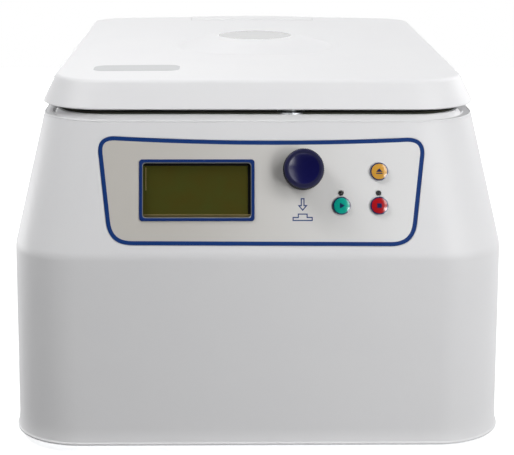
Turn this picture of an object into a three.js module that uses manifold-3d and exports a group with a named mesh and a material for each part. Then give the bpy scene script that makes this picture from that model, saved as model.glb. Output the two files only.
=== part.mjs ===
// Low-speed bench centrifuge with a hinged lid, an angle rotor and a sloping control panel.
// Millimetres, +Z up. The origin is on the floor under the middle of the machine, which faces -Y.
import * as THREE from "three";
import { mergeVertices } from "three/addons/utils/BufferGeometryUtils.js";
import Module from "manifold-3d";

const wasm = await Module();
wasm.setup();

// General clearances
const looseFit = 0.3;
const slideFit = 0.4;
const overrun = 5;

// Counts of facets and steps
const wideSteps = 36;
const roundSteps = 20;
const smallSteps = 10;
const tubeSteps = 14;
const cornerSteps = 5;
const curveSteps = 3;
const bendSteps = 2;
const lidSideSteps = 4;

// Feet
const footHeight = 8;
const footRadius = 12.5;
const footBevel = 1.5;
const footInsetX = 45;
const footInsetY = 46.5;
const footStem = 3.2;
const footBarb = 4.6;
const footBarbHeight = 3.4;

// Base plate and its screws
const baseThickness = 1.5;
const baseMargin = 0.4;
const baseSlotWidth = 3.4;
const baseSlotLength = 44;
const baseSlotPitch = 12;
const baseSlotRow = 116;
const baseSlotCount = 5;
const screwShank = 1.5;
const screwHead = 3.6;
const screwHeadHeight = 2;
const screwDepth = 11;
const screwCrownShare = 0.8;

// Housing shell: straight walls up to a shoulder, then a taper up to a rim with a raised plinth.
// It is built round the chamber bowl's flange, with room at the sides and at the front and back.
const sideRoom = 31;
const depthRoom = 72.5;
const taperHeight = 85.2;
const taperSide = 18.9;
const taperFront = 25.1;
const taperBack = 3;
const housingCorner = 43.7;
const housingWall = 3.5;
const wallDraft = 1.4;
const lipDrop = 2;
const lipEdge = 2;
const lipFlare = 1.6;
const flareHeight = 10;
const shoulderRound = 5;
const rimRound = 1.8;
const plinthInset = 2.2;
const plinthHeight = 3.6;
const plinthRound = 0.8;
const deckThickness = 3.4;
const deckRelief = 2;
const deckReliefHeight = 4.2;
const baseBossRadius = 6;
const baseBossHeight = 35;
const baseBossInset = 4.8;

// Rear vents, connection plate, inlet and switch
const rearCornerRoom = 2.3;
const rearCentreZ = 50;
const rearWallRoom = 3;
const rearOpeningWidth = 104;
const rearOpeningHeight = 44;
const rearOpeningCorner = 4;
const rearPlateMargin = 5;
const rearPlateThickness = 1.2;
const rearSlotRoom = 3.9;
const rearSlotWidth = 3.4;
const rearSlotHeight = 36;
const rearSlotPitch = 11;
const rearSlotCount = 9;
const connectorFlange = 2.5;
const inletOffset = -22;
const inletRim = 2;
const inletSideWall = 1.5;
const inletTopWall = 2;
const inletBodyDepth = 20;
const inletSocketWidth = 24;
const inletSocketHeight = 16.6;
const inletSocketDepth = 15;
const inletPinReach = 7;
const inletPinWidth = 2;
const inletPinHeight = 4;
const inletPinLength = 12;
const inletPinDrop = 3.4;
const rockerOffset = 28;
const rockerRim = 1.3;
const rockerSideWall = 1.4;
const rockerEndWall = 1.1;
const rockerBodyDepth = 18;
const rockerWellDepth = 12;
const rockerWidth = 15;
const rockerHeight = 24;
const rockerDepth = 6;
const rockerTilt = 8;
const rockerPivotDepth = 4;
const rockerRise = 1.6;
const rockerPin = 1.2;
const rockerPinMargin = 0.3;

// Control panel, in its own sloping frame: X runs right, Y up the slope from the shoulder, Z out of it
const overlayThickness = 0.5;
const overlayRecess = 0.6;
const overlayCentreX = 1.5;
const overlayTopHalf = 107;
const overlayFootHalf = 100.4;
const overlayTopInset = 10.2;
const overlayFoot = 7.2;
const overlaySag = 2.6;
const overlayTopCorner = 8;
const overlayFootCorner = 13;
const displayLeft = -78.3;
const displayWidth = 74.8;
const displayTopInset = 15.1;
const displayHeight = 40.1;
const displayCorner = 2;
const bezelRim = 2.3;
const bezelProud = 0.5;
const bezelSleeve = 1.2;
const bezelSleeveDepth = 2.6;
const moduleMargin = 2.5;
const moduleDepth = 6;
const moduleGlass = 1.2;
const boardGap = 1.2;
const boardThickness = 1.6;
const boardLeftRoom = 8.2;
const boardRightRoom = 14.2;
const boardTopInset = 12.6;
const boardHeight = 57;
const boardBoss = 3;
const boardBossInset = 4;
const knobX = 28.3;
const knobTopInset = 22.2;
const knobRadius = 13;
const knobFaceRadius = 12.4;
const knobHeight = 14.1;
const knobGap = 1.7;
const knobDish = 10.2;
const knobDishDepth = 1.8;
const knobDishShares = [0.5, 0.85];
const encoderSize = 12.4;
const encoderShaft = 3;
const encoderRoom = 1.4;
const encoderShaftFront = 9;
const encoderRunning = 0.35;
const plungerThickness = 2;
const buttonX = 77.8;
const buttonPitchX = 24.4;
const buttonPitchY = 22.2;
const buttonTopInset = 23.1;
const buttonRadius = 5.6;
const buttonEdge = 0.7;
const buttonDome = 0.7;
const buttonDomeShares = [[0.8, 0.6], [0.4, 0.95]];
const buttonGap = 0.8;
const buttonStem = 2.4;
const buttonRoom = 0.8;
const switchSize = 6;
const switchHeight = 3;
const ledRise = 8.3;
const ledShift = 0.4;
const ledRadius = 1.5;
const ledProud = 0.5;
const ledDomeShares = [[0.87, 0.5], [0.5, 0.87]];

// Lid: a skirt that slopes in to a kink, and a crowned top with a soft boss round the window
const lidSideOverhang = 1.1;
const lidFrontInset = 0.4;
const lidBackInset = 1.5;
const lidGap = 3;
const lidSkirt = 18.4;
const lidSlopeSide = 8.9;
const lidSlopeFront = 10.3;
const lidSlopeBack = 4;
const lidCorner = 43;
const lidKinkCorner = 36;
const lidWall = 3;
const lidEdgeInset = 1.8;
const lidEdgeHeight = 2.2;
const lidEdgeShares = [0.35, 0.3];
const lidKinkRound = 2.4;
const lidBackRelief = 4.5;
const lidBackReliefHeight = 4.1;
const lidBackReliefShares = [0.5, 0.7, 0.5];
const lidCrown = 1.8;
const lidCrownStart = 110;
const lidTopShares = [0.3, 0.65];
const bossRise = 9.2;
const bossRimWidth = 3.5;
const bossFoot = 72;
const bossRimRound = 1.5;
const bossRingShares = [1, 0.85, 0.7, 0.56];
const notchSideGap = 1.2;
const notchFrontGap = 1.7;
const linerThickness = 2.5;
const linerGap = 0.4;
const lidPillar = 4;
const lidPillarInsetX = 33.2;
const lidPillarInsetY = 39;
const windowRadius = 27.5;
const paneLap = 2.5;
const paneThickness = 2.5;
const paneRecess = 2;
const sleeveWall = 1.4;
const sleeveFlange = 5;
const sleeveFlangeThickness = 2;
const badgeX = -83.7;
const badgeY = -116;
const badgeLength = 62;
const badgeWidth = 28;
const badgeCorner = 8.4;
const badgeThickness = 0.8;
const badgeProud = 0.2;
const badgeRingShares = [1, 0.7, 0.4, 0.1];

// Hinge at the back of the lid
const hingeInset = 11.5;
const hingePin = 3;
const hingePinEnd = 2.5;
const hingeArmRadius = 4.8;
const hingeArmGap = 7;
const hingeArmThickness = 3.5;
const hingeArmFoot = 2;
const hingeArmFootWidth = 16;
const hingeArmLength = 42;
const hingeEarInset = 11;
const hingeEarThickness = 2.5;
const hingeEarHalf = 7;
const hingeBracketThickness = 2;
const hingeEarMargin = 4;
const coverHalf = 53;
const coverFrontReach = 20.5;
const coverBackReach = 9.5;
const coverRise = 11.6;
const coverCrown = 1.4;
const coverWall = 2.2;
const coverFrontRound = 8;
const coverBackRound = 6;
const coverSpanShares = [-1, -0.6, 0, 0.6, 1];

// Latch at the front of the lid
const latchX = 21;
const strikerWallGap = 0.5;
const strikerRadius = 5;
const strikerTip = 4.1;
const strikerHead = 7;
const strikerHeadHeight = 2;
const strikerTipShares = [0.7, 0.3];
const collarBore = 7;
const collarWall = 1.2;
const collarFlange = 9.2;
const collarFlangeHeight = 1.2;
const collarDepth = 12;
const boltWidth = 5;
const boltHeight = 4;
const boltDrop = 12.5;
const boltGap = 1.4;
const boltLength = 28.6;
const boltGuideStart = 2.1;
const boltGuideLength = 10.5;
const boltGuideHalf = 5.6;
const boltGuideRise = 4;
const latchPlateStart = -15;
const latchPlateEnd = 8;
const latchPlateReach = 10;
const latchPlateThickness = 1.6;
const latchPlateDrop = 23;
const latchPlateFlange = 10;
const latchMotorGap = 4;
const latchMotorLength = 32;
const latchMotorDepth = 15;
const latchMotorHalf = 8;

// Chamber bowl and gasket
const bowlOverhang = 2;
const rotorRoom = 17;
const rotorTopRoom = 22;
const bowlWall = 1.5;
const bowlCorner = 12;
const bowlFlangeWidth = 12;
const bowlHole = 24;
const gasketSkirt = 1.9;
const gasketDrop = 6.4;
const gasketWidth = 8.2;

// Motor and its mounting
const damperRadius = 11;
const damperWaist = 8;
const damperHeight = 18;
const damperEdgeShare = 0.2;
const damperReach = 60;
const damperCount = 3;
const mountMargin = 7;
const mountThickness = 4;
const motorRadius = 44;
const motorHeight = 55.2;
const motorBevel = 2.5;
const motorNeck = 16;
const motorNeckHeight = 5;
const motorBoreDepth = 45;
const bootWall = 2;
const bootLap = 3;
const bootRoom = 16.5;

// Shaft, rotor and nut
const shaftRadius = 6;
const shaftFlange = 13;
const shaftFlangeHeight = 3;
const shaftTip = 4.5;
const shaftTipLength = 17;
const rotorLift = 11.5;
const rotorFloor = 5.9;
const rotorWall = 3.08;
const rotorTopWall = 3.3;
const rotorBevel = 8;
const rotorLip = 3;
const rotorDish = 7;
const rotorHub = 20;
const rotorHubDish = 4;
const tubeCount = 8;
const tubeRadius = 8.75;
const tubeTilt = 35;
const tubeMouth = 44;
const tubeMouthDrop = 3.5;
const tubeDepth = 85;
const nutRadius = 15;
const nutCap = 1.9;
const nutBevel = 2;
const nutSides = 12;

// Drive board and transformer on the base plate
const driveBoardRoom = 12.2;
const driveBoardWidth = 56;
const driveBoardLength = 150;
const driveBoardRise = 8;
const driveBoardPost = 3;
const driveBoardPostInset = 6;
const capacitorRadius = 11;
const capacitorHeight = 34;
const capacitorPitch = 28;
const capacitorCount = 3;
const sinkWidth = 20;
const sinkLength = 56;
const sinkHeight = 30;
const sinkStart = 14;
const transformerSideRoom = 21.2;
const transformerFrontRoom = 60.7;
const transformerWidth = 48;
const transformerLength = 66;
const transformerHeight = 52;
const coilProud = 10;
const coilMargin = 8;

// Rotor and chamber, worked out from the tubes
const tubeLean = THREE.MathUtils.degToRad(tubeTilt);
const tubeReach = tubeMouth + tubeDepth * Math.sin(tubeLean) + tubeRadius * Math.cos(tubeLean);
const tubeDrop = tubeMouthDrop + tubeDepth * Math.cos(tubeLean) + tubeRadius * Math.sin(tubeLean);
const rotorRadius = tubeReach + rotorWall;
const rotorTopRadius = tubeMouth + tubeRadius / Math.cos(tubeLean) + rotorTopWall;
const rotorHeight = tubeDrop + rotorFloor;
const bowlRadius = rotorRadius + rotorRoom;
const bowlFlange = bowlRadius + bowlFlangeWidth;
const bowlDepth = rotorLift + rotorHeight + rotorTopRoom;
const chamberOpening = bowlRadius - bowlOverhang;

// Levels, from the floor up
const lipHeight = footHeight - lipDrop;
const baseTop = footHeight + baseThickness;
const motorFoot = baseTop + damperHeight + mountThickness;
const motorTop = motorFoot + motorHeight;
const bowlFloor = motorTop + bootRoom;
const rotorFoot = bowlFloor + rotorLift;
const rotorTop = rotorFoot + rotorHeight;
const deckUnder = bowlFloor + bowlDepth;
const plinthTop = deckUnder + deckThickness;
const rimHeight = plinthTop - plinthHeight;
const shoulderHeight = rimHeight - taperHeight;

// Housing, rear wall and what stands on the base plate
const shoulderWidth = 2 * (bowlFlange + sideRoom);
const shoulderDepth = 2 * (bowlFlange + depthRoom);
const innerInset = housingWall - wallDraft / 2;
const footReachX = shoulderWidth / 2 - footInsetX;
const footReachY = shoulderDepth / 2 - footInsetY;
const rearFlatHalf = shoulderWidth / 2 - housingCorner;
const rearCentreX = rearCornerRoom + rearPlateMargin + rearOpeningWidth / 2 - rearFlatHalf;
const rearSlotStart = rearFlatHalf - rearSlotRoom - rearSlotWidth - (rearSlotCount - 1) * rearSlotPitch;
const rearInnerY = shoulderDepth / 2 - innerInset;
const connectorFace = rearInnerY + connectorFlange;
const straightWallHeight = rearCentreZ + rearOpeningHeight / 2 + rearPlateMargin + rearWallRoom;
const inletBodyWidth = inletSocketWidth + 2 * inletSideWall;
const inletBodyHeight = inletSocketHeight + 2 * inletTopWall;
const rockerBodyWidth = rockerWidth + 2 * (slideFit + rockerSideWall);
const rockerBodyHeight = rockerHeight + 2 * (slideFit + rockerEndWall);
const rockerFrameWidth = rockerBodyWidth + 2 * rockerRim;
const mountRadius = damperReach + damperRadius + mountMargin;
const bootFlange = bowlHole + bootLap;
const driveBoardX = shoulderWidth / 2 - innerInset - driveBoardRoom - driveBoardWidth;
const transformerReach = transformerSideRoom + coilProud + transformerWidth / 2;
const transformerX = transformerReach - shoulderWidth / 2 + innerInset;
const transformerY = transformerFrontRoom + transformerLength / 2 - rearInnerY;

// Control panel
const panelLean = Math.atan2(taperFront, taperHeight);
const panelPlane = new THREE.Matrix4()
  .makeTranslation(0, -shoulderDepth / 2, shoulderHeight)
  .multiply(new THREE.Matrix4().makeRotationX(Math.PI / 2 - panelLean));
const overlayTop = Math.hypot(taperFront, taperHeight) - overlayTopInset;
const overlayBack = looseFit - overlayRecess;
const overlayFace = overlayBack + overlayThickness;
const displayRight = displayLeft + displayWidth;
const displayTop = overlayTop - displayTopInset;
const displayFoot = displayTop - displayHeight;
const moduleFront = housingWall + looseFit;
const boardDepth = moduleFront + moduleDepth + boardGap;
const boardLeft = displayLeft - moduleMargin - boardLeftRoom;
const boardRight = buttonX + boardRightRoom;
const boardTop = overlayTop - boardTopInset;
const boardFoot = boardTop - boardHeight;
const knobY = overlayTop - knobTopInset;
const plungerBack = boardDepth - encoderRoom;
const encoderShaftBack = plungerBack - plungerThickness - looseFit;
const buttonHighY = overlayTop - buttonTopInset;
const buttonLowY = buttonHighY - buttonPitchY;
const switchFront = boardDepth - switchHeight;
const buttonStemBack = switchFront - buttonRoom;

// Lid, hinge and latch
const lidHalf = shoulderWidth / 2 - taperSide + lidSideOverhang;
const lidFront = shoulderDepth / 2 - taperFront - lidFrontInset;
const lidBack = shoulderDepth / 2 - taperBack - lidBackInset;
const lidFoot = plinthTop + lidGap;
const lidKink = lidFoot + lidSkirt;
const bossTop = lidKink + bossRise;
const bossRim = windowRadius + bossRimWidth;
const paneRadius = windowRadius + paneLap;
const linerTop = lidFoot + linerThickness;
const lidPillarX = lidHalf - lidPillarInsetX;
const lidPillarY = lidFront - lidPillarInsetY;
const hingeY = lidBack - hingeInset;
const hingeZ = lidKink - lidWall - looseFit - hingeArmRadius;
const hingeArmX = coverHalf + hingeArmGap;
const hingePinHalf = hingeArmX + hingeArmThickness + hingePinEnd;
const hingeEarX = coverHalf - hingeEarInset;
const hingeBracketHalf = hingeEarX + hingeEarMargin;
const strikerTopShare = (linerThickness + strikerHeadHeight) / lidSkirt;
const latchInset = lidWall + strikerWallGap + strikerRadius + lidSlopeFront * strikerTopShare;
const latchY = latchInset - lidFront;
const boltZ = deckUnder - boltDrop;
const strikerFoot = boltZ - boltHeight / 2 - slideFit - strikerTip;
const latchPlateY = latchY + latchPlateReach;
const boltTip = latchX + strikerRadius + boltGap;
const boltTail = boltTip + boltLength;
const boltGuide = boltTip + boltGuideStart;
const latchMotorStart = boltGuide + boltGuideLength + latchMotorGap;
const latchMotorEnd = latchMotorStart + latchMotorLength;

// Finishes
const finish = (color, roughness, metalness = 0) =>
  new THREE.MeshStandardMaterial({ color, roughness, metalness });
const whiteAbs = finish(0xe9e9e7, 0.42);
const innerAbs = finish(0xd8d8d6, 0.5);
const blackRubber = finish(0x1c1c1e, 0.85);
const greySilicone = finish(0x8b8d90, 0.7);
const zincSteel = finish(0xb9bcc0, 0.35, 1);
const brushedSteel = finish(0xc4c6c8, 0.28, 1);
const anodised = finish(0xa9adb2, 0.32, 1);
const darkPlastic = finish(0x17181a, 0.5);
const castMotor = finish(0x5b6066, 0.5, 1);
const boardGreen = finish(0x1f5a38, 0.45);
const overlaySilver = finish(0xc6c5c2, 0.4);
const printBlue = finish(0x1f3c88, 0.4);
const displayOlive = finish(0x3e3b15, 0.15);
const knobNavy = finish(0x20205c, 0.3);
const ledBlack = finish(0x111113, 0.2);
const buttonAmber = finish(0xe3a72f, 0.2);
const buttonTeal = finish(0x16a08c, 0.2);
const buttonRed = finish(0xc01c2c, 0.2);
const paneGrey = finish(0xcfd1d1, 0.15);
const badgeGrey = finish(0xd3d6d8, 0.4);
const coilCopper = finish(0x9c5a2c, 0.4, 1);

// Solid operations

function toSolid(geometry) {
  const bare = geometry.clone();
  for (const key of Object.keys(bare.attributes)) if (key !== "position") bare.deleteAttribute(key);
  const merged = mergeVertices(bare);
  const index = merged.index.array;
  const kept = [];
  for (let i = 0; i < index.length; i += 3) {
    const [a, b, c] = [index[i], index[i + 1], index[i + 2]];
    if (a !== b && b !== c && c !== a) kept.push(a, b, c);
  }
  const numbers = { numProp: 3, vertProperties: new Float32Array(merged.attributes.position.array) };
  const solid = new wasm.Manifold(new wasm.Mesh({ ...numbers, triVerts: new Uint32Array(kept) }));
  if (solid.volume() > 0) return solid;
  const turned = new Uint32Array(kept.length);
  for (let i = 0; i < kept.length; i += 3) turned.set([kept[i], kept[i + 2], kept[i + 1]], i);
  return new wasm.Manifold(new wasm.Mesh({ ...numbers, triVerts: turned }));
}

function toGeometry(solid) {
  const mesh = solid.getMesh();
  const geometry = new THREE.BufferGeometry();
  geometry.setAttribute("position", new THREE.BufferAttribute(new Float32Array(mesh.vertProperties), 3));
  geometry.setIndex(new THREE.BufferAttribute(new Uint32Array(mesh.triVerts), 1));
  geometry.computeVertexNormals();
  return geometry;
}

function join(first, ...others) {
  return toGeometry(others.reduce((sum, next) => sum.add(toSolid(next)), toSolid(first)));
}

function cut(first, ...tools) {
  return toGeometry(tools.reduce((rest, tool) => rest.subtract(toSolid(tool)), toSolid(first)));
}

// Basic forms

function block(x0, x1, y0, y1, z0, z1) {
  const middle = [(x0 + x1) / 2, (y0 + y1) / 2, (z0 + z1) / 2];
  return new THREE.BoxGeometry(x1 - x0, y1 - y0, z1 - z0).translate(...middle);
}

function rod(radius, z0, z1, x = 0, y = 0, steps = roundSteps) {
  const upright = new THREE.CylinderGeometry(radius, radius, z1 - z0, steps).rotateX(Math.PI / 2);
  return upright.translate(x, y, (z0 + z1) / 2);
}

function rodAlongX(radius, x0, x1, y, z, steps = roundSteps) {
  const lying = new THREE.CylinderGeometry(radius, radius, x1 - x0, steps).rotateZ(Math.PI / 2);
  return lying.translate((x0 + x1) / 2, y, z);
}

function turned(profile, steps = roundSteps) {
  const points = profile.map(([radius, height]) => new THREE.Vector2(radius, height));
  return new THREE.LatheGeometry(points, steps).rotateX(Math.PI / 2);
}

function roundedShape(x0, x1, y0, y1, radius) {
  const shape = new THREE.Shape();
  shape.absarc(x1 - radius, y1 - radius, radius, 0, Math.PI / 2);
  shape.absarc(x0 + radius, y1 - radius, radius, Math.PI / 2, Math.PI);
  shape.absarc(x0 + radius, y0 + radius, radius, Math.PI, 1.5 * Math.PI);
  shape.absarc(x1 - radius, y0 + radius, radius, 1.5 * Math.PI, 2 * Math.PI);
  return shape;
}

function slab(shape, z0, z1) {
  const options = { depth: z1 - z0, bevelEnabled: false, curveSegments: curveSteps };
  return new THREE.ExtrudeGeometry(shape, options).translate(0, 0, z0);
}

// A rounded rectangle, with its straight sides divided into as many steps as the caller asks for.
function roundedRing(halfWidth, front, back, radius, height, sides = 1) {
  const corners = [
    [halfWidth - radius, back - radius],
    [radius - halfWidth, back - radius],
    [radius - halfWidth, radius - front],
    [halfWidth - radius, radius - front],
  ];
  const arcs = corners.map(([x, y], quarter) => Array.from({ length: cornerSteps + 1 }, (_, step) => {
    const angle = ((quarter + step / cornerSteps) * Math.PI) / 2;
    return new THREE.Vector3(x + radius * Math.cos(angle), y + radius * Math.sin(angle), height);
  }));
  return arcs.flatMap((arc, quarter) => {
    const next = arcs[(quarter + 1) % arcs.length][0];
    const end = arc.at(-1);
    const side = Array.from({ length: sides - 1 }, (_, step) => end.clone().lerp(next, (step + 1) / sides));
    return [...arc, ...side];
  });
}

// A closed body through rings of equally many points, with a flat cap at each end.
function loft(rings) {
  const count = rings[0].length;
  const points = rings.flat();
  const faces = [];
  for (let level = 0; level < rings.length - 1; level++) {
    for (let i = 0; i < count; i++) {
      const a = level * count + i;
      const b = level * count + ((i + 1) % count);
      faces.push(a, b, b + count, a, b + count, a + count);
    }
  }
  const last = (rings.length - 1) * count;
  for (let i = 1; i < count - 1; i++) {
    faces.push(0, i + 1, i);
    faces.push(last, last + i, last + i + 1);
  }
  const geometry = new THREE.BufferGeometry().setFromPoints(points);
  geometry.setIndex(faces);
  return geometry;
}

function bezier(start, middle, end, share) {
  const rest = 1 - share;
  const [nearStart, nearMiddle, nearEnd] = [rest * rest, 2 * rest * share, share * share];
  return start.map((value, i) => value * nearStart + middle[i] * nearMiddle + end[i] * nearEnd);
}

function alongCurve(start, middle, end, steps = bendSteps) {
  return Array.from({ length: steps + 1 }, (_, i) => bezier(start, middle, end, i / steps));
}

// Housing

// One level of the housing: its height, the share of the taper reached there, and an extra inset.
function housingRing([height, taperShare, inset]) {
  const halfWidth = shoulderWidth / 2 - taperSide * taperShare - inset;
  const front = shoulderDepth / 2 - taperFront * taperShare - inset;
  const back = shoulderDepth / 2 - taperBack * taperShare - inset;
  return roundedRing(halfWidth, front, back, housingCorner - inset, height);
}

function housingOuter() {
  const flareTop = lipHeight + lipEdge + flareHeight;
  const wallHeight = shoulderHeight - flareTop;
  const levels = [[lipHeight, 0, -wallDraft - lipFlare]];
  for (let step = 0; step <= bendSteps; step++) {
    const share = step / bendSteps;
    levels.push([lipHeight + lipEdge + flareHeight * share, 0, -wallDraft - lipFlare * (1 - share) ** 2]);
  }
  const underShoulder = [shoulderHeight - shoulderRound, 0, (-wallDraft * shoulderRound) / wallHeight];
  const overShoulder = [shoulderHeight + shoulderRound, shoulderRound / taperHeight, 0];
  levels.push(...alongCurve(underShoulder, [shoulderHeight, 0, 0], overShoulder, curveSteps));
  const underRim = [rimHeight - rimRound, 1 - rimRound / taperHeight, 0];
  levels.push(...alongCurve(underRim, [rimHeight, 1, 0], [rimHeight, 1, rimRound]));
  levels.push([rimHeight, 1, plinthInset]);
  levels.push([plinthTop - plinthRound, 1, plinthInset]);
  levels.push([plinthTop, 1, plinthInset + plinthRound]);
  return loft(levels.map(housingRing));
}

function housingInner() {
  const reliefHeight = rimHeight - deckReliefHeight;
  return loft([
    [lipHeight - overrun, 0, innerInset],
    [straightWallHeight, 0, innerInset],
    [shoulderHeight, 0, housingWall],
    [reliefHeight, (reliefHeight - shoulderHeight) / taperHeight, housingWall],
    [deckUnder, 1, housingWall + deckRelief],
  ].map(housingRing));
}

function onPanel(geometry) {
  return geometry.applyMatrix4(panelPlane);
}

function overlayShape(margin) {
  const topHalf = overlayTopHalf + margin;
  const footHalf = overlayFootHalf + margin;
  const top = overlayTop + margin;
  const foot = overlayFoot - margin;
  const topCorner = overlayTopCorner + margin;
  const footCorner = overlayFootCorner + margin;
  const lean = Math.atan2(topHalf - footHalf, top - foot);
  const shape = new THREE.Shape();
  const left = overlayCentreX - topHalf;
  const right = overlayCentreX + topHalf;
  const footLeft = overlayCentreX - footHalf;
  const footRight = overlayCentreX + footHalf;
  shape.moveTo(footLeft + footCorner, foot);
  shape.lineTo(footRight - footCorner, foot);
  const [leanX, leanY] = [Math.sin(lean), Math.cos(lean)];
  shape.quadraticCurveTo(footRight, foot, footRight + footCorner * leanX, foot + footCorner * leanY);
  shape.lineTo(right - topCorner * leanX, top - topCorner * leanY);
  shape.quadraticCurveTo(right, top, right - topCorner, top);
  shape.quadraticCurveTo(overlayCentreX, top - 2 * overlaySag, left + topCorner, top);
  shape.quadraticCurveTo(left, top, left + topCorner * leanX, top - topCorner * leanY);
  shape.lineTo(footLeft - footCorner * leanX, foot + footCorner * leanY);
  shape.quadraticCurveTo(footLeft, foot, footLeft + footCorner, foot);
  return shape;
}

const buttonPlaces = {
  open: [buttonX, buttonHighY],
  start: [buttonX - buttonPitchX, buttonLowY],
  stop: [buttonX, buttonLowY],
};
const ledPlaces = {
  start: [buttonX - buttonPitchX - ledShift, buttonLowY + ledRise],
  stop: [buttonX - ledShift, buttonLowY + ledRise],
};

// The display's outline, moved in by an inset.
function displayShape(inset) {
  return roundedShape(
    displayLeft + inset,
    displayRight - inset,
    displayFoot + inset,
    displayTop - inset,
    displayCorner,
  );
}

// Cutters through the panel for the display, the knob's shaft, the buttons and the lamps.
function panelHoles(back, front) {
  const tools = [slab(displayShape(bezelRim - bezelSleeve - looseFit), back, front)];
  tools.push(rod(encoderShaft + slideFit, back, front, knobX, knobY, smallSteps));
  for (const [x, y] of Object.values(buttonPlaces)) {
    tools.push(rod(buttonStem + slideFit, back, front, x, y, smallSteps));
  }
  for (const [x, y] of Object.values(ledPlaces)) {
    tools.push(rod(ledRadius + looseFit, back, front, x, y, smallSteps));
  }
  return tools;
}

function boardBossPlaces() {
  const xs = [boardLeft + boardBossInset, boardRight - boardBossInset];
  const ys = [boardFoot + boardBossInset, boardTop - boardBossInset];
  return xs.flatMap((x) => ys.map((y) => [x, y]));
}

function cornerPlaces(reachX, reachY) {
  return {
    front_left: [-reachX, -reachY],
    front_right: [reachX, -reachY],
    rear_left: [-reachX, reachY],
    rear_right: [reachX, reachY],
  };
}

const baseBossReach = (housingCorner - innerInset - baseBossInset) * Math.SQRT1_2;
const baseScrewPlaces = cornerPlaces(
  shoulderWidth / 2 - housingCorner + baseBossReach,
  shoulderDepth / 2 - housingCorner + baseBossReach,
);
const footPlaces = cornerPlaces(footReachX, footReachY);

function rearTools() {
  const opening = roundedShape(
    rearCentreX - rearOpeningWidth / 2,
    rearCentreX + rearOpeningWidth / 2,
    rearCentreZ - rearOpeningHeight / 2,
    rearCentreZ + rearOpeningHeight / 2,
    rearOpeningCorner,
  );
  const tools = [slab(opening, -overrun, overrun).rotateX(Math.PI / 2).translate(0, shoulderDepth / 2, 0)];
  const y0 = rearInnerY - overrun;
  const y1 = shoulderDepth / 2 + overrun;
  const z0 = rearCentreZ - rearSlotHeight / 2;
  for (let i = 0; i < rearSlotCount; i++) {
    const x = rearSlotStart + i * rearSlotPitch;
    tools.push(block(x, x + rearSlotWidth, y0, y1, z0, z0 + rearSlotHeight));
  }
  return tools;
}

function makeHousing() {
  const hollow = cut(housingOuter(), housingInner());
  const bosses = [];
  const tools = rearTools();
  for (const [x, y] of Object.values(baseScrewPlaces)) {
    bosses.push(rod(baseBossRadius, baseTop, baseTop + baseBossHeight, x, y, smallSteps));
    tools.push(rod(screwShank + looseFit, baseTop - overrun, baseTop + screwDepth, x, y, smallSteps));
  }
  for (const [x, y] of boardBossPlaces()) {
    bosses.push(onPanel(rod(boardBoss, looseFit - boardDepth, -housingWall / 2, x, y, smallSteps)));
  }
  const recess = slab(overlayShape(looseFit), -overlayRecess, overrun);
  tools.push(...[recess, ...panelHoles(-housingWall - overrun, overrun)].map(onPanel));
  tools.push(rod(chamberOpening, deckUnder - overrun, plinthTop + overrun, 0, 0, wideSteps));
  const latchHole = collarBore + collarWall + looseFit;
  tools.push(rod(latchHole, deckUnder - overrun, plinthTop + overrun, latchX, latchY));
  return cut(join(hollow, ...bosses), ...tools);
}

// Base plate, screws and feet

function makeBasePlate() {
  const inset = innerInset + baseMargin;
  const plate = loft([[footHeight, 0, inset], [baseTop, 0, inset]].map(housingRing));
  const below = footHeight - overrun;
  const above = baseTop + overrun;
  const tools = [];
  for (const [x, y] of Object.values(baseScrewPlaces)) {
    tools.push(rod(screwShank + looseFit, below, above, x, y, smallSteps));
  }
  for (const [x, y] of Object.values(footPlaces)) {
    tools.push(rod(footStem + looseFit, below, above, x, y, smallSteps));
  }
  for (const row of [-baseSlotRow, baseSlotRow]) {
    for (let i = 0; i < baseSlotCount; i++) {
      const x = (i - baseSlotCount / 2) * baseSlotPitch;
      const y = row - baseSlotLength / 2;
      tools.push(block(x, x + baseSlotWidth, y, y + baseSlotLength, below, above));
    }
  }
  return cut(plate, ...tools);
}

function makeBaseScrew() {
  const foot = footHeight - screwHeadHeight;
  const tip = baseTop + screwDepth - looseFit;
  return turned([
    [0, foot],
    [screwHead * screwCrownShare, foot],
    [screwHead, footHeight - screwHeadHeight * screwCrownShare],
    [screwHead, footHeight],
    [screwShank, footHeight],
    [screwShank, tip],
    [0, tip],
  ], smallSteps);
}

function makeFoot() {
  const barbFoot = baseTop + looseFit;
  return turned([
    [0, 0],
    [footRadius - footBevel, 0],
    [footRadius, footBevel],
    [footRadius, footHeight],
    [footStem, footHeight],
    [footStem, barbFoot],
    [footBarb, barbFoot],
    [footStem, barbFoot + footBarbHeight],
    [0, barbFoot + footBarbHeight],
  ], smallSteps);
}

// Rear plate, inlet and rocker switch

// A block centred in X and Z on a point of the rear plate.
function rearBlock(offset, drop, width, height, y0, y1) {
  const x = rearCentreX + offset;
  const z = rearCentreZ - drop;
  return block(x - width / 2, x + width / 2, y0, y1, z - height / 2, z + height / 2);
}

function makeRearPlate() {
  const y0 = rearInnerY - rearPlateThickness;
  const width = rearOpeningWidth + 2 * rearPlateMargin;
  const height = rearOpeningHeight + 2 * rearPlateMargin;
  const plate = rearBlock(0, 0, width, height, y0, rearInnerY);
  const hole = (offset, bodyWidth, bodyHeight) => rearBlock(
    offset,
    0,
    bodyWidth + 2 * looseFit,
    bodyHeight + 2 * looseFit,
    y0 - overrun,
    rearInnerY + overrun,
  );
  return cut(
    plate,
    hole(inletOffset, inletBodyWidth, inletBodyHeight),
    hole(rockerOffset, rockerBodyWidth, rockerBodyHeight),
  );
}

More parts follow.
